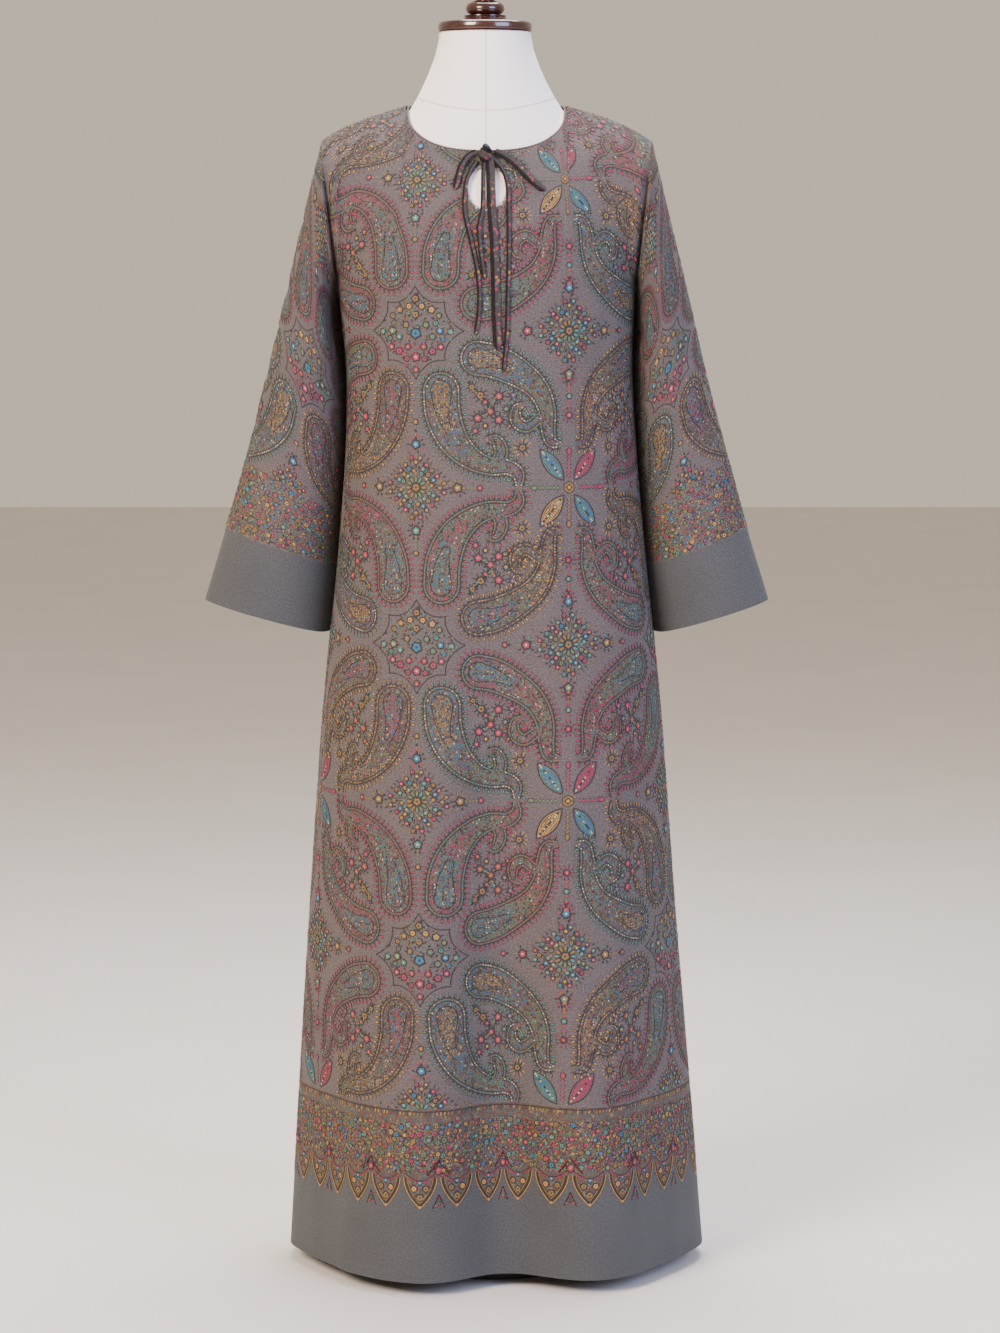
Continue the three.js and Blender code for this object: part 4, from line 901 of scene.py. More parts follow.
def printed_repeat(u_range, v_range, rng):
    """All stamps of the repeat between two widths and two heights of the cloth"""
    parts = {}
    for number, dyes in enumerate(DROP_DYES):
        parts["low", number] = paisley(LOW_DROPS, *dyes, rng)
        parts["side", number] = paisley(SIDE_DROPS, *dyes, rng)
        parts["sprigs", number] = sprigs(rng, ("magenta", "rose", "coral", "magenta")[number])
    star, petals = star_medallion(rng), four_petal_flower(rng)
    lozenge, diamond = (flower_lozenge(rng, *dyes) for dyes in LOZENGE_DYES)
    half_u, half_v = REPEAT_WIDTH / 2, REPEAT_HEIGHT / 2
    columns, lines = (
        range(math.floor((low - start) / half) - 1, math.ceil((high - start) / half) + 2)
        for (low, high), start, half in ((u_range, COLUMN_U, half_u), (v_range, STAR_ROW_V, half_v))
    )
    rows = []
    for i in columns:
        for j in lines:
            u, v = COLUMN_U + i * half_u, STAR_ROW_V + j * half_v
            motif = ((star, diamond), (lozenge, petals))[i % 2][j % 2]
            rows.append(mirrored(motif, False, False, u, v))
            flip_u, flip_v = i % 2, j % 2
            places = flip_u, flip_v, u + half_u * flip_u, v + half_v * flip_v
            low, side, loose = (i + 2 * j) % 4, (3 * i + j + 1) % 4, (i + j) % 4
            for part in (("low", low), ("side", side), ("sprigs", loose)):
                rows.append(mirrored(parts[part], *places))
    rows = np.concatenate(rows)
    inside = (rows[:, 1] > u_range[0]) & (rows[:, 1] < u_range[1])
    return rows[inside & (rows[:, 2] > v_range[0]) & (rows[:, 2] < v_range[1])]


def flower_meadow(u_range, v_range, spacing, rng):
    """Dense mixed flowers with bits of leaf between them, as over the border and above the cuffs"""
    columns = int((u_range[1] - u_range[0]) / spacing)
    lines = int((v_range[1] - v_range[0]) / spacing)
    i, j = np.meshgrid(np.arange(columns), np.arange(lines))
    u = u_range[0] + (i + 0.5 + (j % 2) / 2).ravel() * spacing + rng.uniform(-2, 2, i.size)
    v = v_range[0] + (j + 0.5).ravel() * spacing + rng.uniform(-2, 2, i.size)
    size, turn = rng.uniform(3.6, 6.6, i.size), rng.uniform(0, 3, i.size)
    petals = ("rose", "magenta", "teal", "sage", "ochre", "coral", "blue", "violet", "gold")
    petals = pick(petals, i.size, rng)
    hearts = pick(("gold", "outline", "outline", "ochre"), i.size, rng)
    flowers = blossoms(u, v, turn, size, petals, hearts, 2, 1.35, 1, 0.36)
    count = i.size * 8
    u = rng.uniform(*u_range, count)
    v = rng.uniform(v_range[0], v_range[0] + lines * spacing, count)
    bits = ("sage", "ochre", "rose", "outline", "outline", "teal", "gold", "sage", "outline")
    bits = pick(bits, count, rng)
    turn, length = rng.uniform(0, 3, count), rng.uniform(2.4, 5.2, count)
    width = rng.uniform(0.9, 1.8, count)
    return np.concatenate((flowers, stamps(LOZENGE, u, v, turn, length, width, bits, 1)))


def border_arch(rng):
    """One pointed tongue of the border, point down, with flowers in it and a gold tip"""
    half, height = BORDER_PITCH / 2, TONGUE_HEIGHT
    k = np.linspace(0, 1, 22)
    rows = []
    for inset, dye, thick in (
        (0, "gold", 1), (1.5, "outline", 1.5), (3.2, "brown", 0.7), (4.4, "ochre", 0.9),
    ):
        for side in (-1, 1):
            x = side * (half - 2.4 - inset) * (1 - k ** 1.9)
            y = height * (1 - k) + inset * 1.5 * k - 1
            rows.append(line_of(np.stack((x, y), axis=1), BAR, 2.2, 2.6, thick, dye, 2))
    for side, dye in ((-1, "rose"), (1, "magenta")):
        shoulder = (side * (half - 3.5) * (1 - k), height + 3 - 9 * np.sin(np.pi * k / 2))
        shoulder = np.stack(shoulder, axis=1)
        rows.append(line_of(shoulder, BAR, 2.2, 2.6, 1.0, dye, 2))
        rows.append(line_of(shoulder, BAR, 2.2, 2.5, 0.8, "outline", 2, shift=1.4 * side))
    rows += [
        floret(0, height * 0.33, 9, "ochre", "outline"), floret(-7, height * 0.62, 8, "gold", "rose"),
        floret(7, height * 0.62, 8, "ochre", "navy"), floret(0, height * 0.82, 6, "blue", "cream"),
        stamps(DOT, 0, 0.5, 0, 3.6, 3.6, "gold", 4),
    ]
    spots = rng.uniform((-9, 9), (9, height - 4), (18, 2))
    dyes = pick(("magenta", "teal", "cream", "outline", "sage"), len(spots), rng)
    angle = rng.uniform(0, 3, len(spots))
    rows.append(stamps(LOZENGE, spots[:, 0], spots[:, 1], angle, 2.8, 1.8, dyes, 1))
    for x, y, dye in (
        (0, 4, "ochre"), (-4, 2, "rose"), (4, 2, "coral"), (0, 11, "magenta"), (0, 7.5, "sage"),
    ):
        rows.append(stamps(DOT, half + x, y, 0, 3.2, 3.2, dye, 2))
    triangle = np.array(((half - 7, -1), (half, 15), (half + 7, -1)))
    peak = np.array(((half - 14, height + 3), (half, height + 21), (half + 14, height + 3)))
    rows += [
        line_of(triangle, BAR, 2.2, 2.4, 0.8, "outline", 1), line_of(peak, BAR, 2.2, 2.6, 1.1, "rose", 3),
        line_of(peak, BAR, 2.2, 2.5, 0.8, "outline", 3, shift=1.4),
        floret(half, height + 8, 9, "magenta", "gold", 3),
    ]
    return np.concatenate(rows)


def printed_border(u_range, rng):
    """Stamps of the border between its seam and the plain hem band"""
    v_range = (BORDER_EDGE_HEIGHT + TONGUE_HEIGHT + 4, BORDER_SEAM_HEIGHT - 8)
    rows = [flower_meadow(u_range, v_range, 8.6, rng)]
    arch = border_arch(rng)
    for number in range(math.floor(u_range[0] / BORDER_PITCH), math.ceil(u_range[1] / BORDER_PITCH) + 1):
        rows.append(mirrored(arch, number % 2, False, number * BORDER_PITCH, BORDER_EDGE_HEIGHT))
    line = np.array([(u, BORDER_SEAM_HEIGHT - 2.2) for u in u_range])
    rows.append(line_of(line, BAR, 2.6, 2.8, 1.0, "outline", 2))
    edging = ("gold", "ochre", "brown")
    rows.append(line_of(line, BAR, 4.4, 3.6, 1.5, edging, 2, shift=2.8, turn=1.4, rng=rng))
    return np.concatenate(rows)


def keyhole_mask(points, grow):
    """Which points lie in the keyhole or its slit, grown by a margin"""
    x, y, z = points[..., 0], points[..., 1], points[..., 2]
    half_width, half_height = KEYHOLE_HALF_WIDTH + grow, KEYHOLE_HALF_HEIGHT + grow
    hole = ((x - KEYHOLE_X) / half_width) ** 2 + ((z - KEYHOLE_Z) / half_height) ** 2 < 1
    slit = (np.abs(x - KEYHOLE_X) < SLIT_WIDTH / 2 + grow) & (z > KEYHOLE_Z)
    return (hole | slit) & (y < 0)


def write_values(items, field, values, kind=np.float32):
    """Writes one value or vector for each item of a mesh"""
    items.foreach_set(field, np.asarray(values, kind).ravel())


def add_dye(mesh, colours):
    """Colour for each point of a mesh"""
    write_values(mesh.color_attributes.new("dye", "FLOAT_COLOR", "POINT").data, "color", colours)


def add_flat_place(mesh, flat):
    """UV map of the cloth, from the flat place of each point in metres"""
    corner = np.empty(len(mesh.loops), dtype=np.int32)
    mesh.loops.foreach_get("vertex_index", corner)
    write_values(mesh.uv_layers.new(name="cloth").data, "uv", flat[corner])


def mesh_of(name, shape):
    """Mesh made from a finished bmesh"""
    mesh = bpy.data.meshes.new(name)
    shape.to_mesh(mesh)
    shape.free()
    return mesh


def close_holes(shape):
    """Fills the holes of a shape and turns its faces outwards"""
    bmesh.ops.holes_fill(shape, edges=[edge for edge in shape.edges if edge.is_boundary])
    bmesh.ops.recalc_face_normals(shape, faces=shape.faces[:])


def print_mesh(name, grid, rows, lift, with_keyhole=False):
    """Mesh of all the stamps, laid just over the cloth"""
    dyes = np.array([linear_colour(value) for value in DYES.values()])
    places, colours, sizes = [], [], []
    for kind, corners in enumerate(stamp_shapes()):
        chosen = rows[rows[:, 0] == kind]
        if not len(chosen):
            continue
        _, x, y, angle, length, width, dye, layer = (column[:, None] for column in chosen.T)
        flat = turned(corners[:, 0] * length, corners[:, 1] * width, angle)
        u, v = x + flat[..., 0], y + flat[..., 1]
        i, j, found = grid.find(u.ravel(), v.ravel())
        heights = lift + LAYER_STEP * np.repeat(layer, len(corners))
        keep = found.reshape(u.shape).all(axis=1)
        if with_keyhole:
            cut = keyhole_mask(grid.sample(grid.points, i, j), KEYHOLE_PRINT_MARGIN)
            keep &= ~cut.reshape(u.shape).any(axis=1)
        points = grid.place(i, j, heights)[0].reshape(*u.shape, 3)[keep]
        if not grid.faces_out:
            points = points[:, ::-1]
        places.append(points.reshape(-1, 3))
        colours.append(np.repeat(dyes[dye[keep, 0].astype(int)], len(corners), axis=0))
        sizes.append(np.full(len(points), len(corners)))
    places, colours, sizes = np.concatenate(places), np.concatenate(colours), np.concatenate(sizes)
    mesh = bpy.data.meshes.new(name)
    mesh.vertices.add(len(places))
    write_values(mesh.vertices, "co", places * MM)
    mesh.loops.add(len(places))
    write_values(mesh.loops, "vertex_index", np.arange(len(places)), np.int32)
    mesh.polygons.add(len(sizes))
    write_values(mesh.polygons, "loop_start", np.cumsum(sizes) - sizes, np.int32)
    add_dye(mesh, colours)
    mesh.update(calc_edges=True)
    mesh.validate()
    return new_object(name, mesh)


def new_object(name, mesh):
    """Object at the origin that rides with the part"""
    piece = bpy.data.objects.new(name, mesh)
    bpy.context.scene.collection.objects.link(piece)
    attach(piece, "root")
    return piece


def settle(piece, sharp_angle=50):
    """Applies the modifiers of a piece and shades it smooth between its sharp edges"""
    graph = bpy.context.evaluated_depsgraph_get()
    made = bpy.data.meshes.new_from_object(
        piece.evaluated_get(graph), preserve_all_data_layers=True, depsgraph=graph)
    piece.modifiers.clear()
    piece.data = made
    made.polygons.foreach_set("use_smooth", np.ones(len(made.polygons), dtype=bool))
    made.set_sharp_from_angle(angle=math.radians(sharp_angle))
    return piece


def sheet_mesh(name, points, u=None, v=None, tint=None, weld=False, close=False):
    """Surface through a grid of points in millimetres, with its flat place as UV and its tint"""
    rows, columns = points.shape[:2]
    shape = bmesh.new()
    bmesh.ops.create_grid(shape, x_segments=columns - 1, y_segments=rows - 1, size=1)
    mesh = mesh_of(name, shape)
    write_values(mesh.vertices, "co", points * MM)
    if u is not None:
        add_flat_place(mesh, np.stack((u.ravel(), v.ravel()), axis=1) * MM)
    if tint is not None:
        add_dye(mesh, tint)
    if weld:
        shape = bmesh.new()
        shape.from_mesh(mesh)
        bmesh.ops.remove_doubles(shape, verts=shape.verts[:], dist=WELD_DISTANCE)
        if close:
            close_holes(shape)
        shape.to_mesh(mesh)
        shape.free()
    mesh.update()
    return mesh


def drop_masks(x, y):
    """How far inside each printed drop a place of the folded repeat is, and how far along it"""
    inside, along = np.zeros_like(x), np.zeros_like(x)
    for points, widths in LOW_DROPS + SIDE_DROPS:
        spine, half = smooth_line(points, 4), smooth_widths(widths, 4)
        for index, (spine_x, spine_y) in enumerate(spine):
            depth = 1 - np.hypot(x - spine_x, y - spine_y) / half[index]
            closer = depth > inside
            inside = np.where(closer, depth, inside)
            along = np.where(closer, index / len(spine), along)
    return inside, along


def printed_tint(grid, border=False):
    """Ground tint under the print: colour, and how much of the small filling shows"""
    if border:
        tongue = np.abs((grid.u / BORDER_PITCH + 0.5) % 1 - 0.5) * BORDER_PITCH
        top = BORDER_EDGE_HEIGHT + TONGUE_HEIGHT
        edge = BORDER_EDGE_HEIGHT + TONGUE_HEIGHT * (tongue / TONGUE_HALF_WIDTH) ** 1.6
        in_tongue = smooth_step(-1, 5, grid.v - edge) * (tongue < TONGUE_HALF_WIDTH)
        amount = np.maximum(smooth_step(top - 6, top + 8, grid.v), in_tongue) * BORDER_FILLING
        tint = np.broadcast_to(linear_colour(BORDER_TINT)[:3], grid.u.shape + (3,))
    else:
        x = np.abs((grid.u - COLUMN_U + REPEAT_WIDTH / 2) % REPEAT_WIDTH - REPEAT_WIDTH / 2)
        y = np.abs((grid.v - STAR_ROW_V + REPEAT_HEIGHT / 2) % REPEAT_HEIGHT - REPEAT_HEIGHT / 2)
        inside, along = drop_masks(x, y)
        amount = smooth_step(*FILLING_EDGE, inside) * DROP_FILLING
        tints = np.array([linear_colour(value)[:3] for value in DROP_TINTS])
        column = (grid.u - COLUMN_U) // (REPEAT_WIDTH / 2) % len(tints)
        tint = tints[((along * 2.9 + column * 0.7) % (len(tints) - 0.001)).astype(int)]
    return np.concatenate((tint, amount[..., None]), axis=-1)


def cloth_shell(name, grid, tint, weld=False):
    """Thin cloth with a real edge, its outer face on the grid"""
    piece = new_object(name, sheet_mesh(name, grid.points, grid.u, grid.v, tint, weld))
    wall = piece.modifiers.new("wall", "SOLIDIFY")
    wall.thickness = bpy.context.scene.kaftan_cloth.wall
    wall.offset = -1
    return piece


def cut_keyhole(piece):
    """Cuts the keyhole and its slit through the front"""
    shape = bmesh.new()
    hole = bmesh.ops.create_cone(shape, cap_ends=True, segments=72, radius1=1, radius2=1, depth=CUTTER_DEPTH)
    hole = hole["verts"]
    bmesh.ops.rotate(shape, verts=hole, matrix=Matrix.Rotation(math.pi / 2, 3, "X"))
    bmesh.ops.scale(shape, verts=hole, vec=(KEYHOLE_HALF_WIDTH * MM, 1, KEYHOLE_HALF_HEIGHT * MM))
    slit = bmesh.ops.create_cube(shape, size=1)["verts"]
    bmesh.ops.scale(shape, verts=slit, vec=(SLIT_WIDTH * MM, CUTTER_DEPTH, CUTTER_RISE))
    bmesh.ops.translate(shape, verts=slit, vec=(0, 0, CUTTER_RISE / 2))
    bmesh.ops.translate(shape, verts=shape.verts[:], vec=(KEYHOLE_X * MM, CUTTER_Y, KEYHOLE_Z * MM))
    cutter = bpy.data.objects.new("keyhole_cutter", mesh_of("keyhole_cutter", shape))
    bpy.context.scene.collection.objects.link(cutter)
    cut = piece.modifiers.new("keyhole", "BOOLEAN")
    cut.operation = "DIFFERENCE"
    cut.object = cutter
    cut.solver = "EXACT"
    cut.use_self = True
    settle(piece)
    bpy.data.objects.remove(cutter)


def tube_mesh(name, line, outwards, section, u_width, taper=0.0):
    """Tube along a line: section gives each corner's place across and out, in millimetres"""
    run = unit(np.gradient(line, axis=0))
    side = unit(np.cross(run, outwards))
    out = np.cross(side, run)
    along = arc_lengths(line, 0)
    size = np.ones(len(line))
    if taper:
        size = np.clip(np.sqrt(np.clip((along[-1] - along) / taper, 0, 1)), TAPER_END, 1)
    section = np.concatenate((section, section[:1]))
    across = section[None, :, 0] * size[:, None]
    rise = section[None, :, 1] * np.sqrt(size)[:, None]
    points = line[:, None] + side[:, None] * across[..., None] + out[:, None] * rise[..., None]
    u = np.broadcast_to(section[None, :, 0] / u_width, across.shape)
    v = np.broadcast_to(along[:, None], across.shape)
    # painted shade: corners on the side facing the cloth are marked so the ribbon's material colours them
    # near black
    painted_underside_shade = np.broadcast_to((section[None, :, 1] < 0) * 1.0, across.shape)
    tint = np.stack((u * 0.5 + 0.5, painted_underside_shade, np.zeros_like(u), np.ones_like(u)), axis=-1)
    return sheet_mesh(name, points, u * u_width, v, tint, weld=True, close=True)


def ribbon_section(width, thickness, corners=18, groove=0.35):
    """Flat rounded section with a shallow fold line along the middle of its face"""
    angle = 2 * np.pi * (np.arange(corners) + 0.5) / corners
    across = width / 2 * np.sign(np.cos(angle)) * np.abs(np.cos(angle)) ** 0.8
    rise = thickness / 2 * np.sign(np.sin(angle)) * np.abs(np.sin(angle)) ** 0.75
    rise = np.where(rise > 0, rise * (1 - groove * np.exp(-((across / (0.14 * width)) ** 2))), rise)
    return np.stack((across, rise), axis=1)


class FrontPlace:
    """Finds the cloth under a place seen from the front"""

    def __init__(self):
        across = np.linspace(-TIES_REACH, TIES_REACH, 61)
        across, levels = np.meshgrid(across, np.linspace(TIES_LOWEST_LEVEL, UPPER_LENGTH, 76))
        points = body_point("front", across, levels)
        self.grid = ClothGrid(points, points[..., 0], points[..., 2])
        self.grid.points = points
        self.grid.normals = self.grid.outward_normals()

    def at(self, x, z, lift):
        """Points over the cloth by their lift, and the cloth's outward directions there"""
        i, j, _ = self.grid.find(np.asarray(x, float), np.asarray(z, float))
        return self.grid.place(i, j, lift)


# Ties as seen from the front: width, thickness and a route of x, z and lift off the cloth
TIE_TAILS = {
    "tie_tail_1": (5.7, 2.4, (
        (-11, 1347, 3.2), (-19, 1333, 3.4), (-24, 1318, 3), (-25.5, 1290, 2), (-21, 1266, 2),
        (-14, 1236, 2), (-8.5, 1205, 2), (-8.5, 1170, 2), (-13, 1141, 2))),
    "tie_tail_2": (5.5, 2.4, (
        (-2.6, 1345, 6.5), (-3.4, 1332, 5), (-3.6, 1313, 4.6), (-4.6, 1288, 1.9), (-8.5, 1266, 5),
        (-6.5, 1240, 5), (-1.6, 1206, 1.7))),
    "tie_tail_3": (11, 2.4, (
        (3.6, 1345, 6), (5, 1332, 4.6), (5.6, 1313, 4.4), (6.6, 1290, 2.2), (9.4, 1254, 2), (11, 1207, 2),
        (12, 1165, 2), (14, 1123, 2))),
    "tie_tail_4": (5.5, 2.4, (
        (9.4, 1347, 3.4), (19, 1336, 3.2), (25, 1318, 3), (26.6, 1285, 2), (26.6, 1240, 2),
        (25.6, 1190, 2), (24, 1140, 2), (20, 1098, 2))),
}
TIE_LOOPS = {
    "tie_loop_right": (10, 3, (
        (9.8, 1356, 5.2), (20, 1352, 5.2), (34, 1342, 4.6), (52, 1325, 3), (70, 1311, 1.9))),
    "tie_loop_left": (8, 3, ((-11, 1356, 5.2), (-21, 1350.5, 5), (-30, 1337, 4), (-37, 1312, 1.9))),
}
KNOT_X, KNOT_Z, KNOT_LIFT = -0.5, 1350, 9.5
KNOT_SIZE = (8.4, 7.8, 12.5)
# Spacing of the rings along a tie, the length over which its end narrows and its share left there
RIBBON_SPACING, LOOP_TAPER, TAIL_TAPER, TAPER_END, PATH_POINTS = 1.6, 5, 9, 0.12, 26


def shared_rim(own, other):
    """Direction that gives both walls the same rim where two outward faces meet"""
    return (own + other) / (1 + (own * other).sum(axis=-1, keepdims=True))


def towards_neck(side, across):
    """Direction from the neckline into the neck opening"""
    ahead = body_point(side, np.minimum(across + NECK_STEP, NECK_SHARE), UPPER_LENGTH)
    behind = body_point(side, np.maximum(across - NECK_STEP, -NECK_SHARE), UPPER_LENGTH)
    away = unit(np.cross(ahead - behind, body_normal(side, across, UPPER_LENGTH)))
    return -away if side == "front" else away


def at_neck(across):
    """Which places lie on the neckline"""
    return np.abs(across) <= NECK_SHARE + TINY


def neck_line(side, across):
    """Points on the neckline, its outward directions and its directions into the neck"""
    other = "back" if side == "front" else "front"
    points = body_point(side, across, UPPER_LENGTH)
    outwards = body_normal(side, across, UPPER_LENGTH)
    inwards = towards_neck(side, across)
    near = smooth_step(0.8, 1.0, np.abs(across) / NECK_SHARE)[:, None]
    edge = np.sign(across) * NECK_SHARE
    out_rim = shared_rim(body_normal(side, edge, UPPER_LENGTH), body_normal(other, edge, UPPER_LENGTH))
    in_rim = shared_rim(towards_neck(side, edge), towards_neck(other, edge))
    return points, outwards * (1 - near) + out_rim * near, inwards * (1 - near) + in_rim * near


def drawn_in(line, middle, shares):
    """Rings of a line drawn in towards a middle, one for each share of its size"""
    return np.stack([middle + (line - middle) * share for share in shares])


def form_rows(side, across):
    """Rows of the dress form's front or back, from its lower edge to the neckline"""
    other = "back" if side == "front" else "front"
    heights = np.linspace(FORM_BOTTOM_HEIGHT, UNDERARM_HEIGHT - 30, FORM_LOWER_ROWS)
    rows = [ring_point(side, across, z, False, smooth_value(FORM_INSETS, 1, z)) for z in heights]
    s, k = np.meshgrid(across, np.linspace(0, 1, FORM_UPPER_ROWS))
    wall, far_wall = body_normal(side, s, k * UPPER_LENGTH), body_normal(other, s, k * UPPER_LENGTH)
    upper_inset = FORM_UPPER_INSET + FORM_SIDE_INSET * np.abs(s) ** 6
    inset = FORM_UNDERARM_INSET + (upper_inset - FORM_UNDERARM_INSET) * np.minimum(k * 4, 1)
    near_neck = smooth_step(NECK_SHARE * 0.9, NECK_SHARE, np.abs(s))
    on_shoulder = (smooth_step(0.9, 1.0, k) * near_neck)[..., None]
    wall = wall * (1 - on_shoulder) + shared_rim(wall, far_wall) * on_shoulder
    points = body_point(side, s, k * UPPER_LENGTH) - wall * inset[..., None]
    points[..., 0] -= np.where(np.abs(s) > 0.999, np.sign(s) * FORM_UPPER_INSET, 0)
    neck = at_neck(across)
    _, _, inwards = neck_line(side, np.where(neck, across, NECK_SHARE))
    points[-1] += inwards * FORM_NECK_MARGIN * neck[:, None]
    return np.concatenate((rows, points))


def solid_of_revolution(name, profile, seat, steps=72):
    """Turned piece, spun from its profile of radius and height over its seat, in millimetres"""
    shape = bmesh.new()
    line = smooth_line(profile, 4) if len(profile) > 8 else profile
    made = [shape.verts.new((radius * MM, 0, height * MM)) for radius, height in line]
    edges = [shape.edges.new(pair) for pair in zip(made[:-1], made[1:])]
    around = {"cent": (0, 0, 0), "axis": (0, 0, 1), "angle": 2 * math.pi}
    bmesh.ops.spin(shape, geom=made + edges, steps=steps, use_merge=True, **around)
    bmesh.ops.remove_doubles(shape, verts=shape.verts[:], dist=WELD_DISTANCE)
    close_holes(shape)
    bmesh.ops.translate(shape, verts=shape.verts[:], vec=[value * MM for value in seat])
    return settle(new_object(name, mesh_of(name, shape)), 48)


def add_node(tree, kind, inputs=(), stops=(), out=0, to=None, **settings):
    """Adds a shader node and gives an output: inputs are sockets, numbers or hex colours, by order or name"""
    node = tree.nodes.new("ShaderNode" + kind)
    for name, value in settings.items():
        setattr(node, name, value)
    for name, value in inputs.items() if isinstance(inputs, dict) else enumerate(inputs):
        if isinstance(value, bpy.types.NodeSocket):
            tree.links.new(value, node.inputs[name])
        else:
            node.inputs[name].default_value = linear_colour(value) if isinstance(value, str) else value
    for index, (place, colour) in enumerate(stops):
        stop = node.color_ramp.elements[index] if index < 2 else node.color_ramp.elements.new(place)
        stop.position = place
        stop.color = linear_colour(colour)
    if to:
        tree.links.new(node.outputs[out], tree.nodes["Principled BSDF"].inputs[to])
    return node.outputs[out]


def new_material(name, roughness, **sockets):
    """Material with the numbers that are the same all over it, and what adds a node to it"""
    material = bpy.data.materials.new(name)
    material.use_nodes = True
    shader = material.node_tree.nodes["Principled BSDF"]
    for socket, value in {"Roughness": roughness, **sockets}.items():
        shader.inputs[socket.replace("_", " ")].default_value = value
    return material, functools.partial(add_node, material.node_tree)


# Wool and cotton twill, woven and printed: dull, faintly hairy, with a heathered grey ground and
# small coloured fillings where the print has its large shapes
def twill_cloth(name, ground_low, ground_high, filled):
    material, node = new_material(name, 0.9, Sheen_Weight=0.06)
    flat = node("UVMap", uv_map="cloth")
    # threads half a millimetre apart are drawn three times as coarse so that they show
    threads = [
        node("TexWave", {"Vector": flat, "Scale": scale, "Distortion": 1.2}, out="Fac", bands_direction=way)
        for scale, way in ((190, "X"), (175, "Y"))
    ]
    weave = node("Math", threads, operation="MULTIPLY")
    heather = node("TexNoise", {"Vector": flat, "Scale": 430, "Detail": 3, "Roughness": 0.65}, out="Fac")
    wear = node("TexNoise", {"Vector": flat, "Scale": 14, "Detail": 4}, out="Fac")
    ground = node("ValToRGB", (heather,), ((0.3, ground_low), (0.7, ground_high)))
    if filled:
        dye = node("Attribute", attribute_name="dye")
        # fillings of the print are about three millimetres across
        bits = {"Vector": flat, "Scale": 330, "Randomness": 1}
        rims = node("TexVoronoi", bits, out="Distance", feature="DISTANCE_TO_EDGE")
        bit = node("SeparateColor", (node("TexVoronoi", bits, out="Color"),), out="Red")
        bit_colour = node("ValToRGB", (bit,), (
            (0, "#45605a"), (0.18, "#6e3428"), (0.36, "#6f5427"), (0.5, "#6d2a3a"), (0.64, "#46543c"),
            (0.8, "#2b4d60"), (0.9, "#85765a")))
        bit_colour.node.color_ramp.interpolation = "CONSTANT"
        filling = node("Mix", {0: 0.55, 6: bit_colour, 7: dye}, out=2, data_type="RGBA")
        rim = node("MapRange", (rims, 0.02, 0.16, 0.62, 0))
        filling = node("Mix", {0: rim, 6: filling, 7: "#211d1e"}, out=2, data_type="RGBA")
        amount = dye.node.outputs["Alpha"]
        ground = node("Mix", {0: amount, 6: ground, 7: filling}, out=2, data_type="RGBA")
    shade = node("MapRange", (wear, 0.25, 0.75, 0.9, 1.08))
    node("VectorMath", {0: ground, "Scale": shade}, to="Base Color", operation="SCALE")
    relief = node("Math", (weave, heather), operation="ADD")
    node("Bump", {"Height": relief, "Strength": 0.8, "Distance": 0.0005}, to="Normal")
    return material


# Dyed and overprinted wool, lying in the twill: dull colours that break up with the weave
def printed_dye():
    material, node = new_material("printed_dye", 0.82, Sheen_Weight=0.04)
    place = node("TexCoord", out="Object")
    dye = node("Attribute", attribute_name="dye")
    # threads half a millimetre apart, drawn about four times as coarse so that they show
    grain = node("TexNoise", {"Vector": place, "Scale": 520, "Detail": 2}, out="Fac")
    shade = node("MapRange", (grain, 0.3, 0.7, 0.8, 1.15))
    node("VectorMath", {0: dye, "Scale": shade}, to="Base Color", operation="SCALE")
    node("Bump", {"Height": grain, "Strength": 0.4, "Distance": 0.0003}, to="Normal")
    return material


# Folded printed ribbon of the same twill: small bright flowers on a dark ground, with painted shade
# that turns it near black along its folded right edge and on its side facing the cloth
def ribbon_cloth():
    material, node = new_material("ribbon_cloth", 0.85, Specular_IOR_Level=0.2)
    flat = node("UVMap", uv_map="cloth")
    side = node("SeparateColor", (node("Attribute", attribute_name="dye"),), out="Red")
    # the ribbon's flowers are about four millimetres apart
    bits = node("TexVoronoi", {"Vector": flat, "Scale": 250, "Randomness": 0.9}, out="Color")
    bit_colour = node("ValToRGB", (node("SeparateColor", (bits,), out="Green"),), (
        (0, "#3f393b"), (0.36, "#8a2346"), (0.56, "#3a3336"), (0.7, "#2f5c68"), (0.78, "#48523f"),
        (0.9, "#8a6a33")))
    bit_colour.node.color_ramp.interpolation = "CONSTANT"
    heart = node("MapRange", (bits.node.outputs["Distance"], 0.25, 0.6, 0, 1))
    colour = node("Mix", {0: heart, 6: bit_colour, 7: "#353032"}, out=2, data_type="RGBA")
    # painted shade: the ribbon's right edge and its side facing the cloth turn near black, for the shadow
    # between the strands
    painted_fold_shade = node("MapRange", (side, 0.52, 0.62, 0, 0.93))
    behind = node("Math", (painted_fold_shade, side.node.outputs["Green"]), operation="MAXIMUM")
    node("Mix", {0: behind, 6: colour, 7: "#0c0a0b"}, out=2, to="Base Color", data_type="RGBA")
    thread = node("TexWave", {"Vector": flat, "Scale": 260, "Distortion": 1}, out="Fac")
    node("Bump", {"Height": thread, "Strength": 0.4, "Distance": 0.0004}, to="Normal")
    return material


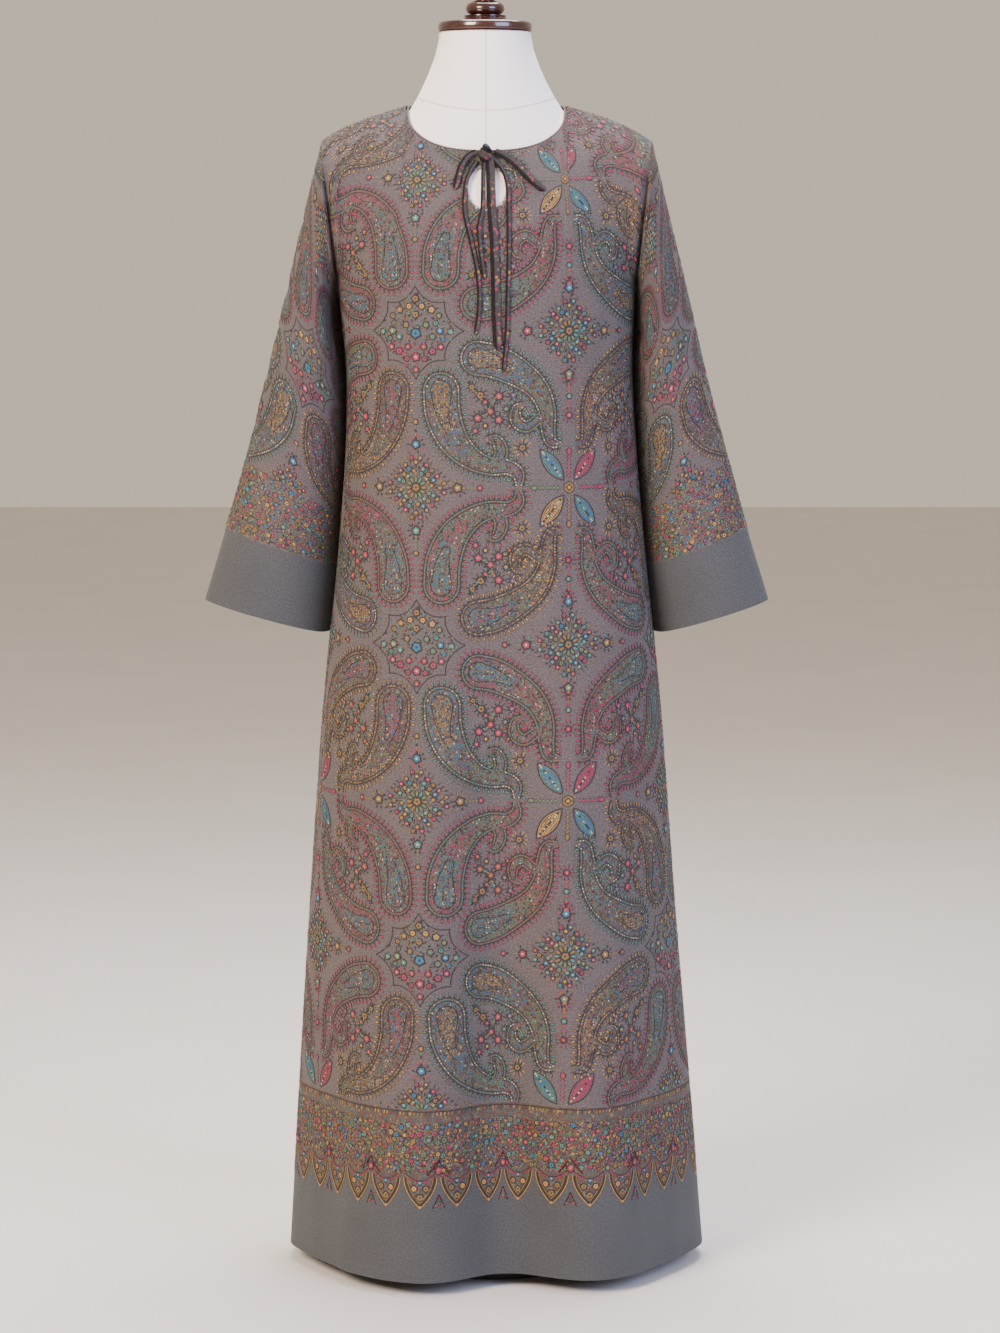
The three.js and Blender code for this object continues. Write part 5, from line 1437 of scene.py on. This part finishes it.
# Cotton jersey drawn over padding: matte off-white, very fine knit, two flat seams at the neck
def jersey_cover():
    look = bpy.context.scene.kaftan_form
    material, node = new_material("jersey_cover", 0.85, Sheen_Weight=0.1)
    place = node("TexCoord", out="Object")
    x = node("SeparateXYZ", (place,), out="X")
    # the knit's stitches are about a millimetre and a half, and the padding's swells eighty
    knit = node("TexNoise", {"Vector": place, "Scale": 700, "Detail": 2}, out="Fac")
    pad = node("TexNoise", {"Vector": place, "Scale": 12, "Detail": 2}, out="Fac")
    square = node("Math", (x, x), operation="MULTIPLY")
    curve = node("Math", (square, SEAM_CURVE, look.seam_height), operation="MULTIPLY_ADD")
    off = node("Math", (x.node.outputs["Z"], curve), operation="SUBTRACT")
    away, middle = (node("Math", (value,), operation="ABSOLUTE") for value in (off, x))
    nearest = node("Math", (away, middle), operation="MINIMUM")
    seam = node("MapRange", (nearest, 0.0003, 0.0014, 0, 1))
    colour = node("Mix", {0: knit, 6: "#f2ebe6", 7: "#fffaf7"}, out=2, data_type="RGBA")
    node("Mix", {0: seam, 6: "#dfd5ce", 7: colour}, out=2, to="Base Color", data_type="RGBA")
    height = node("Math", (seam, 4, knit), operation="MULTIPLY_ADD")
    height = node("Math", (pad, 3, height), operation="MULTIPLY_ADD")
    node("Bump", {"Height": height, "Strength": 0.5, "Distance": 0.0004}, to="Normal")
    return material


# Mahogany, turned and French polished: deep red-brown with darker grain under a clear gloss
def polished_mahogany():
    material, node = new_material("polished_mahogany", 0.22, Coat_Weight=0.8, Coat_Roughness=0.06)
    place = node("TexCoord", out="Object")
    # grain lines about four millimetres apart, drawn out along the board
    drawn = node("Mapping", {"Vector": place, "Scale": (1, 6, 14), "Rotation": (0.1, 0.3, 0.5)})
    grain = node("TexNoise", {
        "Vector": drawn, "Scale": 16, "Detail": 6, "Roughness": 0.6, "Distortion": 0.8}, out="Fac")
    node("ValToRGB", (grain,), ((0.3, "#1f0a07"), (0.7, "#4a231b"), (0.52, "#35150f")), to="Base Color")
    node("Bump", {"Height": grain, "Strength": 0.12, "Distance": 0.0003}, to="Normal")
    return material


# Steel, powder coated: near black, half gloss, with the slight orange-peel of baked powder
def powder_coated_steel():
    material, node = new_material("powder_coated_steel", 0.45)
    peel = {"Vector": node("TexCoord", out="Object"), "Scale": 900, "Detail": 1}
    peel = node("TexNoise", peel, out="Fac")
    node("Mix", {0: peel, 6: "#24211f", 7: "#322e2b"}, out=2, to="Base Color", data_type="RGBA")
    node("Bump", {"Height": peel, "Strength": 0.25, "Distance": 0.0002}, to="Normal")
    return material


# Dark cotton rolled over the neck edge: matte, with overcast threads two millimetres apart
def binding_twill():
    material, node = new_material("binding_twill", 0.85, Sheen_Weight=0.15)
    wind = {"Vector": node("UVMap", uv_map="cloth"), "Scale": 150, "Distortion": 0.6}
    wind = node("TexWave", wind, out="Fac", bands_direction="DIAGONAL")
    node("Mix", {0: wind, 6: "#2f2729", 7: "#62544f"}, out=2, to="Base Color", data_type="RGBA")
    node("Bump", {"Height": wind, "Strength": 0.6, "Distance": 0.0005}, to="Normal")
    return material


# Plaster floor, pale and matte, with faint clouds a third of a metre across
def pale_floor():
    material, node = new_material("pale_floor", 0.75)
    cloud = {"Vector": node("TexCoord", out="Object"), "Scale": 3, "Detail": 4}
    cloud = node("TexNoise", cloud, out="Fac")
    node("Mix", {0: cloud, 6: "#d6d0ca", 7: "#e2ddd8"}, out=2, to="Base Color", data_type="RGBA")
    return material


def dressed(piece, material, nodes=()):
    """Gives a piece its material, and lets it stand for its CAD nodes"""
    piece.data.materials.clear()
    piece.data.materials.append(material)
    if nodes:
        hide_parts(*nodes)
    return piece


class KaftanClothLook(bpy.types.PropertyGroup):
    """Sizes and colours of the cloth"""
    wall: bpy.props.FloatProperty(
        name="Cloth thickness", description="Thickness of the cloth at its edges", default=0.0013,
        unit="LENGTH")
    print_lift: bpy.props.FloatProperty(
        name="Print lift", description="How far the printed shapes lie off the cloth", default=0.0004,
        unit="LENGTH")
    ground_low: bpy.props.StringProperty(
        name="Ground, dark", description="Darker thread of the printed ground, as hex", default="#3a3434")
    ground_high: bpy.props.StringProperty(
        name="Ground, light", description="Lighter thread of the printed ground, as hex", default="#5c5455")
    plain_low: bpy.props.StringProperty(
        name="Plain, dark", description="Darker thread of the hem band and cuffs", default="#323335")
    plain_high: bpy.props.StringProperty(
        name="Plain, light", description="Lighter thread of the hem band and cuffs", default="#45474a")


class DressFormLook(bpy.types.PropertyGroup):
    """Places on the dress form"""
    seam_height: bpy.props.FloatProperty(
        name="Neck seam height", description="Height of the neck seam at its middle", default=1.408,
        unit="LENGTH")


class StageLook(bpy.types.PropertyGroup):
    """Floor, light and camera"""
    floor_size: bpy.props.FloatProperty(
        name="Floor size", description="Width of the floor", default=30.0, unit="LENGTH")
    key_power: bpy.props.FloatProperty(
        name="Key light", description="Power of the warm light on the left", default=390.0)
    fill_power: bpy.props.FloatProperty(
        name="Fill light", description="Power of the cool light on the right", default=215.0)
    room_light: bpy.props.FloatProperty(
        name="Room light", description="Strength of the even light", default=1.0)
    camera_distance: bpy.props.FloatProperty(
        name="Camera distance", description="How far the camera stands in front", default=4.8, unit="LENGTH")


# Grid of each panel that is made, and the seed of the print's random draws
GRIDS = {}
PRINT_SEED = 11
PRINTED_PANELS = ("front_cloth", "back_cloth", "left_sleeve", "right_sleeve", "front_border", "back_border")


def panel(name, grid, material, node, tint=None, weld=False):
    """One panel of cloth on its grid, kept for the print, dressed and standing for its CAD node"""
    GRIDS[name] = grid
    piece = cloth_shell(name, grid, tint, weld)
    if name == "front_cloth":
        cut_keyhole(piece)
    else:
        settle(piece)
    dressed(piece, material, [node])


class KAFTAN_OT_body(bpy.types.Operator):
    """Front and back of the kaftan above the border seam"""
    bl_idname = "kaftan.body"
    bl_label = "Front and back"

    def execute(self, context):
        look = context.scene.kaftan_cloth
        material = twill_cloth("printed_twill", look.ground_low, look.ground_high, True)
        low = BORDER_SEAM_HEIGHT - UNDERARM_HEIGHT
        for side, creases in (("front", FRONT_CREASES), ("back", BACK_CREASES)):
            size = GRID_SIZES[f"{side}_cloth"]
            grid = body_grid(side, low, UPPER_LENGTH, *size, creases, True, False)
            panel(f"{side}_cloth", grid, material, f"body_{side}", printed_tint(grid))
        return {"FINISHED"}


class KAFTAN_OT_border(bpy.types.Operator):
    """Border and plain hem band, front and back"""
    bl_idname = "kaftan.border"
    bl_label = "Border and hem"

    def execute(self, context):
        look = context.scene.kaftan_cloth
        material = twill_cloth("border_twill", look.plain_low, look.plain_high, True)
        low, high = HEM_HEIGHT - UNDERARM_HEIGHT, BORDER_SEAM_HEIGHT - UNDERARM_HEIGHT
        for side in ("front", "back"):
            name = f"{side}_border"
            grid = body_grid(side, low, high, *GRID_SIZES[name], (), False, True)
            tint = printed_tint(grid, border=True)
            panel(name, grid, material, f"hem_{side}", tint)
        return {"FINISHED"}


class KAFTAN_OT_sleeves(bpy.types.Operator):
    """Both sleeves and their plain cuffs"""
    bl_idname = "kaftan.sleeves"
    bl_label = "Sleeves and cuffs"

    def execute(self, context):
        look = context.scene.kaftan_cloth
        printed = twill_cloth("sleeve_twill", look.ground_low, look.ground_high, True)
        plain = twill_cloth("plain_twill", look.plain_low, look.plain_high, False)
        for side, sign in (("left", -1), ("right", 1)):
            grid = sleeve_grid(sign, 0, CUFF_SEAM_ALONG, *GRID_SIZES["sleeve"], SLEEVE_CREASES, False, True)
            name, tint = f"{side}_sleeve", printed_tint(grid)
            panel(name, grid, printed, f"sleeve_{side}", tint, weld=True)
            grid = sleeve_grid(sign, CUFF_SEAM_ALONG, CUFF_END_ALONG, *GRID_SIZES["cuff"], (), True, False)
            panel(f"{side}_cuff", grid, plain, f"cuff_{side}", weld=True)
        return {"FINISHED"}


class KAFTAN_OT_print(bpy.types.Operator):
    """Printed drops, medallions, flowers and border, laid on every printed panel"""
    bl_idname = "kaftan.printed_pattern"
    bl_label = "Printed pattern"

    def execute(self, context):
        material = printed_dye()
        lift = context.scene.kaftan_cloth.print_lift / MM
        rng = np.random.default_rng(PRINT_SEED)
        for name in PRINTED_PANELS:
            grid = GRIDS[name]
            u_range, v_range = (grid.u.min(), grid.u.max()), (grid.v.min(), grid.v.max())
            if name.endswith("border"):
                rows = printed_border(u_range, rng)
            else:
                rows = printed_repeat(u_range, v_range, rng)
            if name.endswith("sleeve"):
                edge = SHOULDER_TIP[2] - CUFF_SEAM_ALONG
                band = (edge + 2, edge + CUFF_BAND)
                rows = rows[rows[:, 2] > edge + CUFF_BAND]
                rows = np.concatenate((rows, flower_meadow(u_range, band, CUFF_BAND_SPACING, rng)))
            piece = print_mesh(f"{name}_print", grid, rows, lift, with_keyhole=name == "front_cloth")
            dressed(piece, material)
        return {"FINISHED"}


class KAFTAN_OT_declare(bpy.types.Operator):
    """Works out the flat size and area of each panel of cloth, and passes neither on"""
    bl_idname = "kaftan.declare_cloth"
    bl_label = "Cloth facts"

    def execute(self, context):
        for name, grid in GRIDS.items():
            flat = float(np.ptp(grid.u, axis=1).max()) * MM, float(np.ptp(grid.v)) * MM
            area = min(grid.area(), flat[0] * flat[1])
        return {"FINISHED"}


class KAFTAN_OT_binding(bpy.types.Operator):
    """Rolled dark edge round the neckline"""
    bl_idname = "kaftan.neck_binding"
    bl_label = "Neck binding"

    def execute(self, context):
        slit = (SLIT_WIDTH / 2 + PART_GAP) / NECK_POINT[0] * NECK_SHARE
        middle = KEYHOLE_X / NECK_POINT[0] * NECK_SHARE
        stretches = (
            ("front", np.linspace(middle + slit, NECK_SHARE, 60)),
            ("back", np.linspace(NECK_SHARE, -NECK_SHARE, 110)[1:-1]),
            ("front", np.linspace(-NECK_SHARE, middle - slit, 60)),
        )
        parts = zip(*(neck_line(*stretch) for stretch in stretches))
        points, outwards, inwards = (np.concatenate(values) for values in parts)
        line = points - outwards * BINDING_SINK + unit(inwards) * (BINDING_GAP + BINDING_RADIUS)
        line[1:-1] = (line[:-2] + 2 * line[1:-1] + line[2:]) / 4
        section = BINDING_RADIUS * circle(2 * np.pi * np.arange(12) / 12)
        mesh = tube_mesh("neck_edge", line, outwards, section, BINDING_RADIUS)
        dressed(settle(new_object("neck_edge", mesh)), binding_twill(), ["neck_binding"])
        return {"FINISHED"}


class KAFTAN_OT_ties(bpy.types.Operator):
    """Knot, bow loops and hanging tails of the ties"""
    bl_idname = "kaftan.ties"
    bl_label = "Ties and knot"

    def execute(self, context):
        place = FrontPlace()
        material = ribbon_cloth()
        for name, (width, thickness, route) in {**TIE_TAILS, **TIE_LOOPS}.items():
            is_loop = name in TIE_LOOPS
            smooth = smooth_line(route)
            centre, _ = resample(smooth[:, :2], RIBBON_SPACING)
            along = arc_lengths(smooth[:, :2], 0)
            shares = (np.arange(len(centre)) + 0.5) / len(centre)
            lift = np.interp(shares * along[-1], along, smooth[:, 2])
            line, outwards = place.at(centre[:, 0], centre[:, 1], lift)
            section, taper = ribbon_section(width, thickness), LOOP_TAPER if is_loop else TAIL_TAPER
            mesh = tube_mesh(f"{name}_ribbon", line, outwards, section, width / 2, taper)
            ribbon = settle(new_object(f"{name}_ribbon", mesh), 70)
            dressed(ribbon, material, [name])
        seat, _ = place.at([KNOT_X], [KNOT_Z], [KNOT_LIFT])
        shape = bmesh.new()
        bmesh.ops.create_uvsphere(shape, u_segments=48, v_segments=32, radius=1)
        for vertex in shape.verts:
            x, y, z = vertex.co
            # two turns of the ribbon cross the knot, and a third pinches its upper part
            wrap = math.cos(7.5 * (z + 0.55 * x)) * 0.05 + math.cos(3.2 * (x - 0.4 * z) + 1) * 0.05
            pinch = 1 - 0.16 * math.exp(-((z - 0.2) / 0.16) ** 2)
            round_knot = np.array((x * pinch, y * pinch, z)) * (0.95 + wrap)
            vertex.co = (round_knot * KNOT_SIZE + seat[0]) * MM
        mesh = mesh_of("knot_ribbon", shape)
        x, y, z = np.array([vertex.co for vertex in mesh.vertices]).T
        add_flat_place(mesh, np.stack((x + y * 0.4, z + y * 0.4), axis=1))
        # painted shade: dark stripes across the knot where the turns of the ribbon meet
        painted_fold_shade = np.cos(420 * (z + 0.55 * x)) * 0.5 + 0.42
        none = np.zeros_like(x)
        add_dye(mesh, np.stack((painted_fold_shade, none, none, none + 1), axis=1))
        dressed(settle(new_object("knot_ribbon", mesh), 80), material, ["tie_knot"])
        return {"FINISHED"}


class KAFTAN_OT_form(bpy.types.Operator):
    """Covered torso and neck of the dress form"""
    bl_idname = "kaftan.dress_form"
    bl_label = "Dress form"

    def execute(self, context):
        across = np.linspace(-1, 1, 81)
        front, back = form_rows("front", across), form_rows("back", across)
        neck = at_neck(across)
        loop = np.concatenate((front[-1][neck][:-1], back[-1][neck][::-1][:-1]))
        angle = np.arctan2(loop[:, 1] - NECK_POINT[1], loop[:, 0])
        middle = np.array((NECK_TOP_X, NECK_TOP_Y, NECK_TOP_HEIGHT - PART_GAP))
        tops = middle + NECK_TOP_RADIUS * np.pad(circle(angle), ((0, 0), (0, 1)))
        end = np.linalg.norm(tops - loop, axis=1)[:, None] * (0, 0, NECK_RISE)
        start = (tops - loop) * (NECK_FLARE, NECK_FLARE, 0) + end
        k = np.linspace(0, 1, 25)[:, None, None]
        rising = hermite(k, loop[None], start[None], tops[None], end[None])
        rising = np.concatenate((rising, rising[:, :1]), axis=1)
        sides = [front, back[:, ::-1]]
        grids = sides + [rising, drawn_in(rising[-1], middle, (1, 0.6, 0.02))]
        middle = np.array((ring_middle(FORM_BOTTOM_HEIGHT), 0, FORM_BOTTOM_HEIGHT))
        grids += [drawn_in(rows[0], middle, (0.02, 0.6, 1)) for rows in sides]
        first = FORM_LOWER_ROWS - 1
        for at, way in ((0, -1), (-1, 1)):
            armhole = np.concatenate((front[first:, at], back[first:-1, at][::-1], front[[first], at]))
            rings = drawn_in(armhole, armhole.mean(axis=0), (1, 0.7, 0.35, 0.02))
            grids.append(rings[:, ::way])
        shape = bmesh.new()
        for number, points in enumerate(grids):
            mesh = sheet_mesh(f"form_part_{number}", points)
            shape.from_mesh(mesh)
            bpy.data.meshes.remove(mesh)
        bmesh.ops.remove_doubles(shape, verts=shape.verts[:], dist=FORM_WELD_DISTANCE)
        close_holes(shape)
        form = settle(new_object("dress_form", mesh_of("dress_form", shape)), 55)
        dressed(form, jersey_cover(), ["form_torso"])
        return {"FINISHED"}


# Turned profiles: radius and height over the seat, in millimetres
CAP_PROFILE = (
    (0, 0), (54, 0), (55.4, 0.5), (56.4, 2), (57, 5), (56.6, 9), (55.4, 11), (53.6, 12.1), (50, 12.7),
    (40, 13.6), (31, 15.0), (27, 16.4), (25, 18.2), (24, 20), (0, 20),
)
FINIAL_PROFILE = (
    (0, 0), (15, 0), (21, 2.2), (23.4, 6), (23.4, 9.5), (21, 13.4), (16, 16.2), (12.2, 17.6), (11.2, 19.6),
    (13, 21.4), (16.4, 23.6), (18, 28), (17.4, 34), (14, 40.5), (8, 45), (3, 46.8), (0, 47.2),
)
BASE_PROFILE = ((0, 0), (129, 0), (130, 1), (130, 12), (128.8, 14.8), (126, 16), (0, 16))
POLE_RADIUS = 14
# Camera in metres and degrees, where the lights point, and the top light's share of the fill light
CAMERA_X, CAMERA_HEIGHT, CAMERA_TILT, CAMERA_LENS = 0.0164, 1.228, 5.87, 106.24
LIT_POINT, TOP_LIGHT_SHARE = (0, 0, 0.95), 0.8


class KAFTAN_OT_wood(bpy.types.Operator):
    """Turned cap and finial on the neck"""
    bl_idname = "kaftan.cap_and_finial"
    bl_label = "Cap and finial"

    def execute(self, context):
        material = polished_mahogany()
        seat_z = NECK_TOP_HEIGHT
        for name, profile, node in (
            ("turned_cap", CAP_PROFILE, "neck_cap"), ("turned_finial", FINIAL_PROFILE, "finial"),
        ):
            piece = solid_of_revolution(name, profile, (NECK_TOP_X, NECK_TOP_Y, seat_z))
            dressed(piece, material, [node])
            seat_z += CAP_PROFILE[-1][1] + PART_GAP
        return {"FINISHED"}


class KAFTAN_OT_stand(bpy.types.Operator):
    """Pole and round base of the stand"""
    bl_idname = "kaftan.stand"
    bl_label = "Stand"

    def execute(self, context):
        material = powder_coated_steel()
        seat = (float(ring_middle(FORM_BOTTOM_HEIGHT)), 0, 0)
        low, high = BASE_PROFILE[-1][1] + PART_GAP, FORM_BOTTOM_HEIGHT - PART_GAP
        pole = ((0, low), (POLE_RADIUS, low), (POLE_RADIUS, high), (0, high))
        pole = solid_of_revolution("steel_pole", pole, seat, 48)
        dressed(pole, material, ["stand_pole"])
        base = solid_of_revolution("steel_base", BASE_PROFILE, seat)
        dressed(base, material, ["stand_base"])
        return {"FINISHED"}


class KAFTAN_OT_stage(bpy.types.Operator):
    """Pale floor, soft lights and the camera"""
    bl_idname = "kaftan.stage"
    bl_label = "Stage"

    def execute(self, context):
        look = context.scene.kaftan_stage
        shape = bmesh.new()
        bmesh.ops.create_grid(shape, x_segments=2, y_segments=2, size=look.floor_size / 2)
        floor = bpy.data.objects.new("floor", mesh_of("floor", shape))
        floor.data.materials.append(pale_floor())
        context.scene.collection.objects.link(floor)
        for name, location, size, colour, power in (
            ("key_light", (-2.4, -3.2, 2.9), 1.7, "#ffebd8", look.key_power),
            ("fill_light", (2.7, -2.9, 2.2), 2.4, "#bccdff", look.fill_power),
            ("top_light", (0.2, 0.8, 3.6), 2.0, "#ffffff", look.fill_power * TOP_LIGHT_SHARE),
        ):
            lamp = bpy.data.lights.new(name, "AREA")
            lamp.size = size
            lamp.energy = power
            lamp.color = linear_colour(colour)[:3]
            light = bpy.data.objects.new(name, lamp)
            light.location = location
            light.rotation_euler = (Vector(LIT_POINT) - light.location).to_track_quat("-Z", "Y").to_euler()
            context.scene.collection.objects.link(light)
        world = bpy.data.worlds.new("room")
        world.use_nodes = True
        background = world.node_tree.nodes["Background"].inputs
        background["Color"].default_value = linear_colour("#d8c9b6")
        background["Strength"].default_value = look.room_light
        context.scene.world = world
        lens = bpy.data.cameras.new("camera")
        lens.sensor_width, lens.lens, lens.clip_end = 36, CAMERA_LENS, 60
        camera = bpy.data.objects.new("camera", lens)
        camera.location = (CAMERA_X, -look.camera_distance, CAMERA_HEIGHT)
        camera.rotation_euler = (math.radians(90 - CAMERA_TILT), 0, 0)
        context.scene.collection.objects.link(camera)
        context.scene.camera = camera
        return {"FINISHED"}


OPERATORS = (
    KAFTAN_OT_stage, KAFTAN_OT_form, KAFTAN_OT_ties, KAFTAN_OT_body, KAFTAN_OT_border, KAFTAN_OT_sleeves,
    KAFTAN_OT_print, KAFTAN_OT_declare, KAFTAN_OT_binding, KAFTAN_OT_wood, KAFTAN_OT_stand,
)


class KAFTAN_PT_panel(bpy.types.Panel):
    """Lists the pieces of the kaftan and its dress form"""
    bl_idname = "KAFTAN_PT_panel"
    bl_label = "Kaftan"
    bl_space_type = "VIEW_3D"
    bl_region_type = "UI"
    bl_category = "Kaftan"

    def draw(self, context):
        for settings in (context.scene.kaftan_cloth, context.scene.kaftan_form, context.scene.kaftan_stage):
            box = self.layout.box()
            for name in type(settings).__annotations__:
                box.prop(settings, name)
        for operator in OPERATORS:
            self.layout.operator(operator.bl_idname)


CLASSES = (KaftanClothLook, DressFormLook, StageLook, *OPERATORS, KAFTAN_PT_panel)


def register():
    for made in CLASSES:
        bpy.utils.register_class(made)
    bpy.types.Scene.kaftan_cloth = bpy.props.PointerProperty(type=KaftanClothLook)
    bpy.types.Scene.kaftan_form = bpy.props.PointerProperty(type=DressFormLook)
    bpy.types.Scene.kaftan_stage = bpy.props.PointerProperty(type=StageLook)


def unregister():
    for name in ("kaftan_cloth", "kaftan_form", "kaftan_stage"):
        delattr(bpy.types.Scene, name)
    for made in reversed(CLASSES):
        bpy.utils.unregister_class(made)


def main():
    """Builds every piece in order"""
    register()
    for operator in OPERATORS:
        area, name = operator.bl_idname.split(".")
        getattr(getattr(bpy.ops, area), name)()


if __name__ == "__main__":
    main()
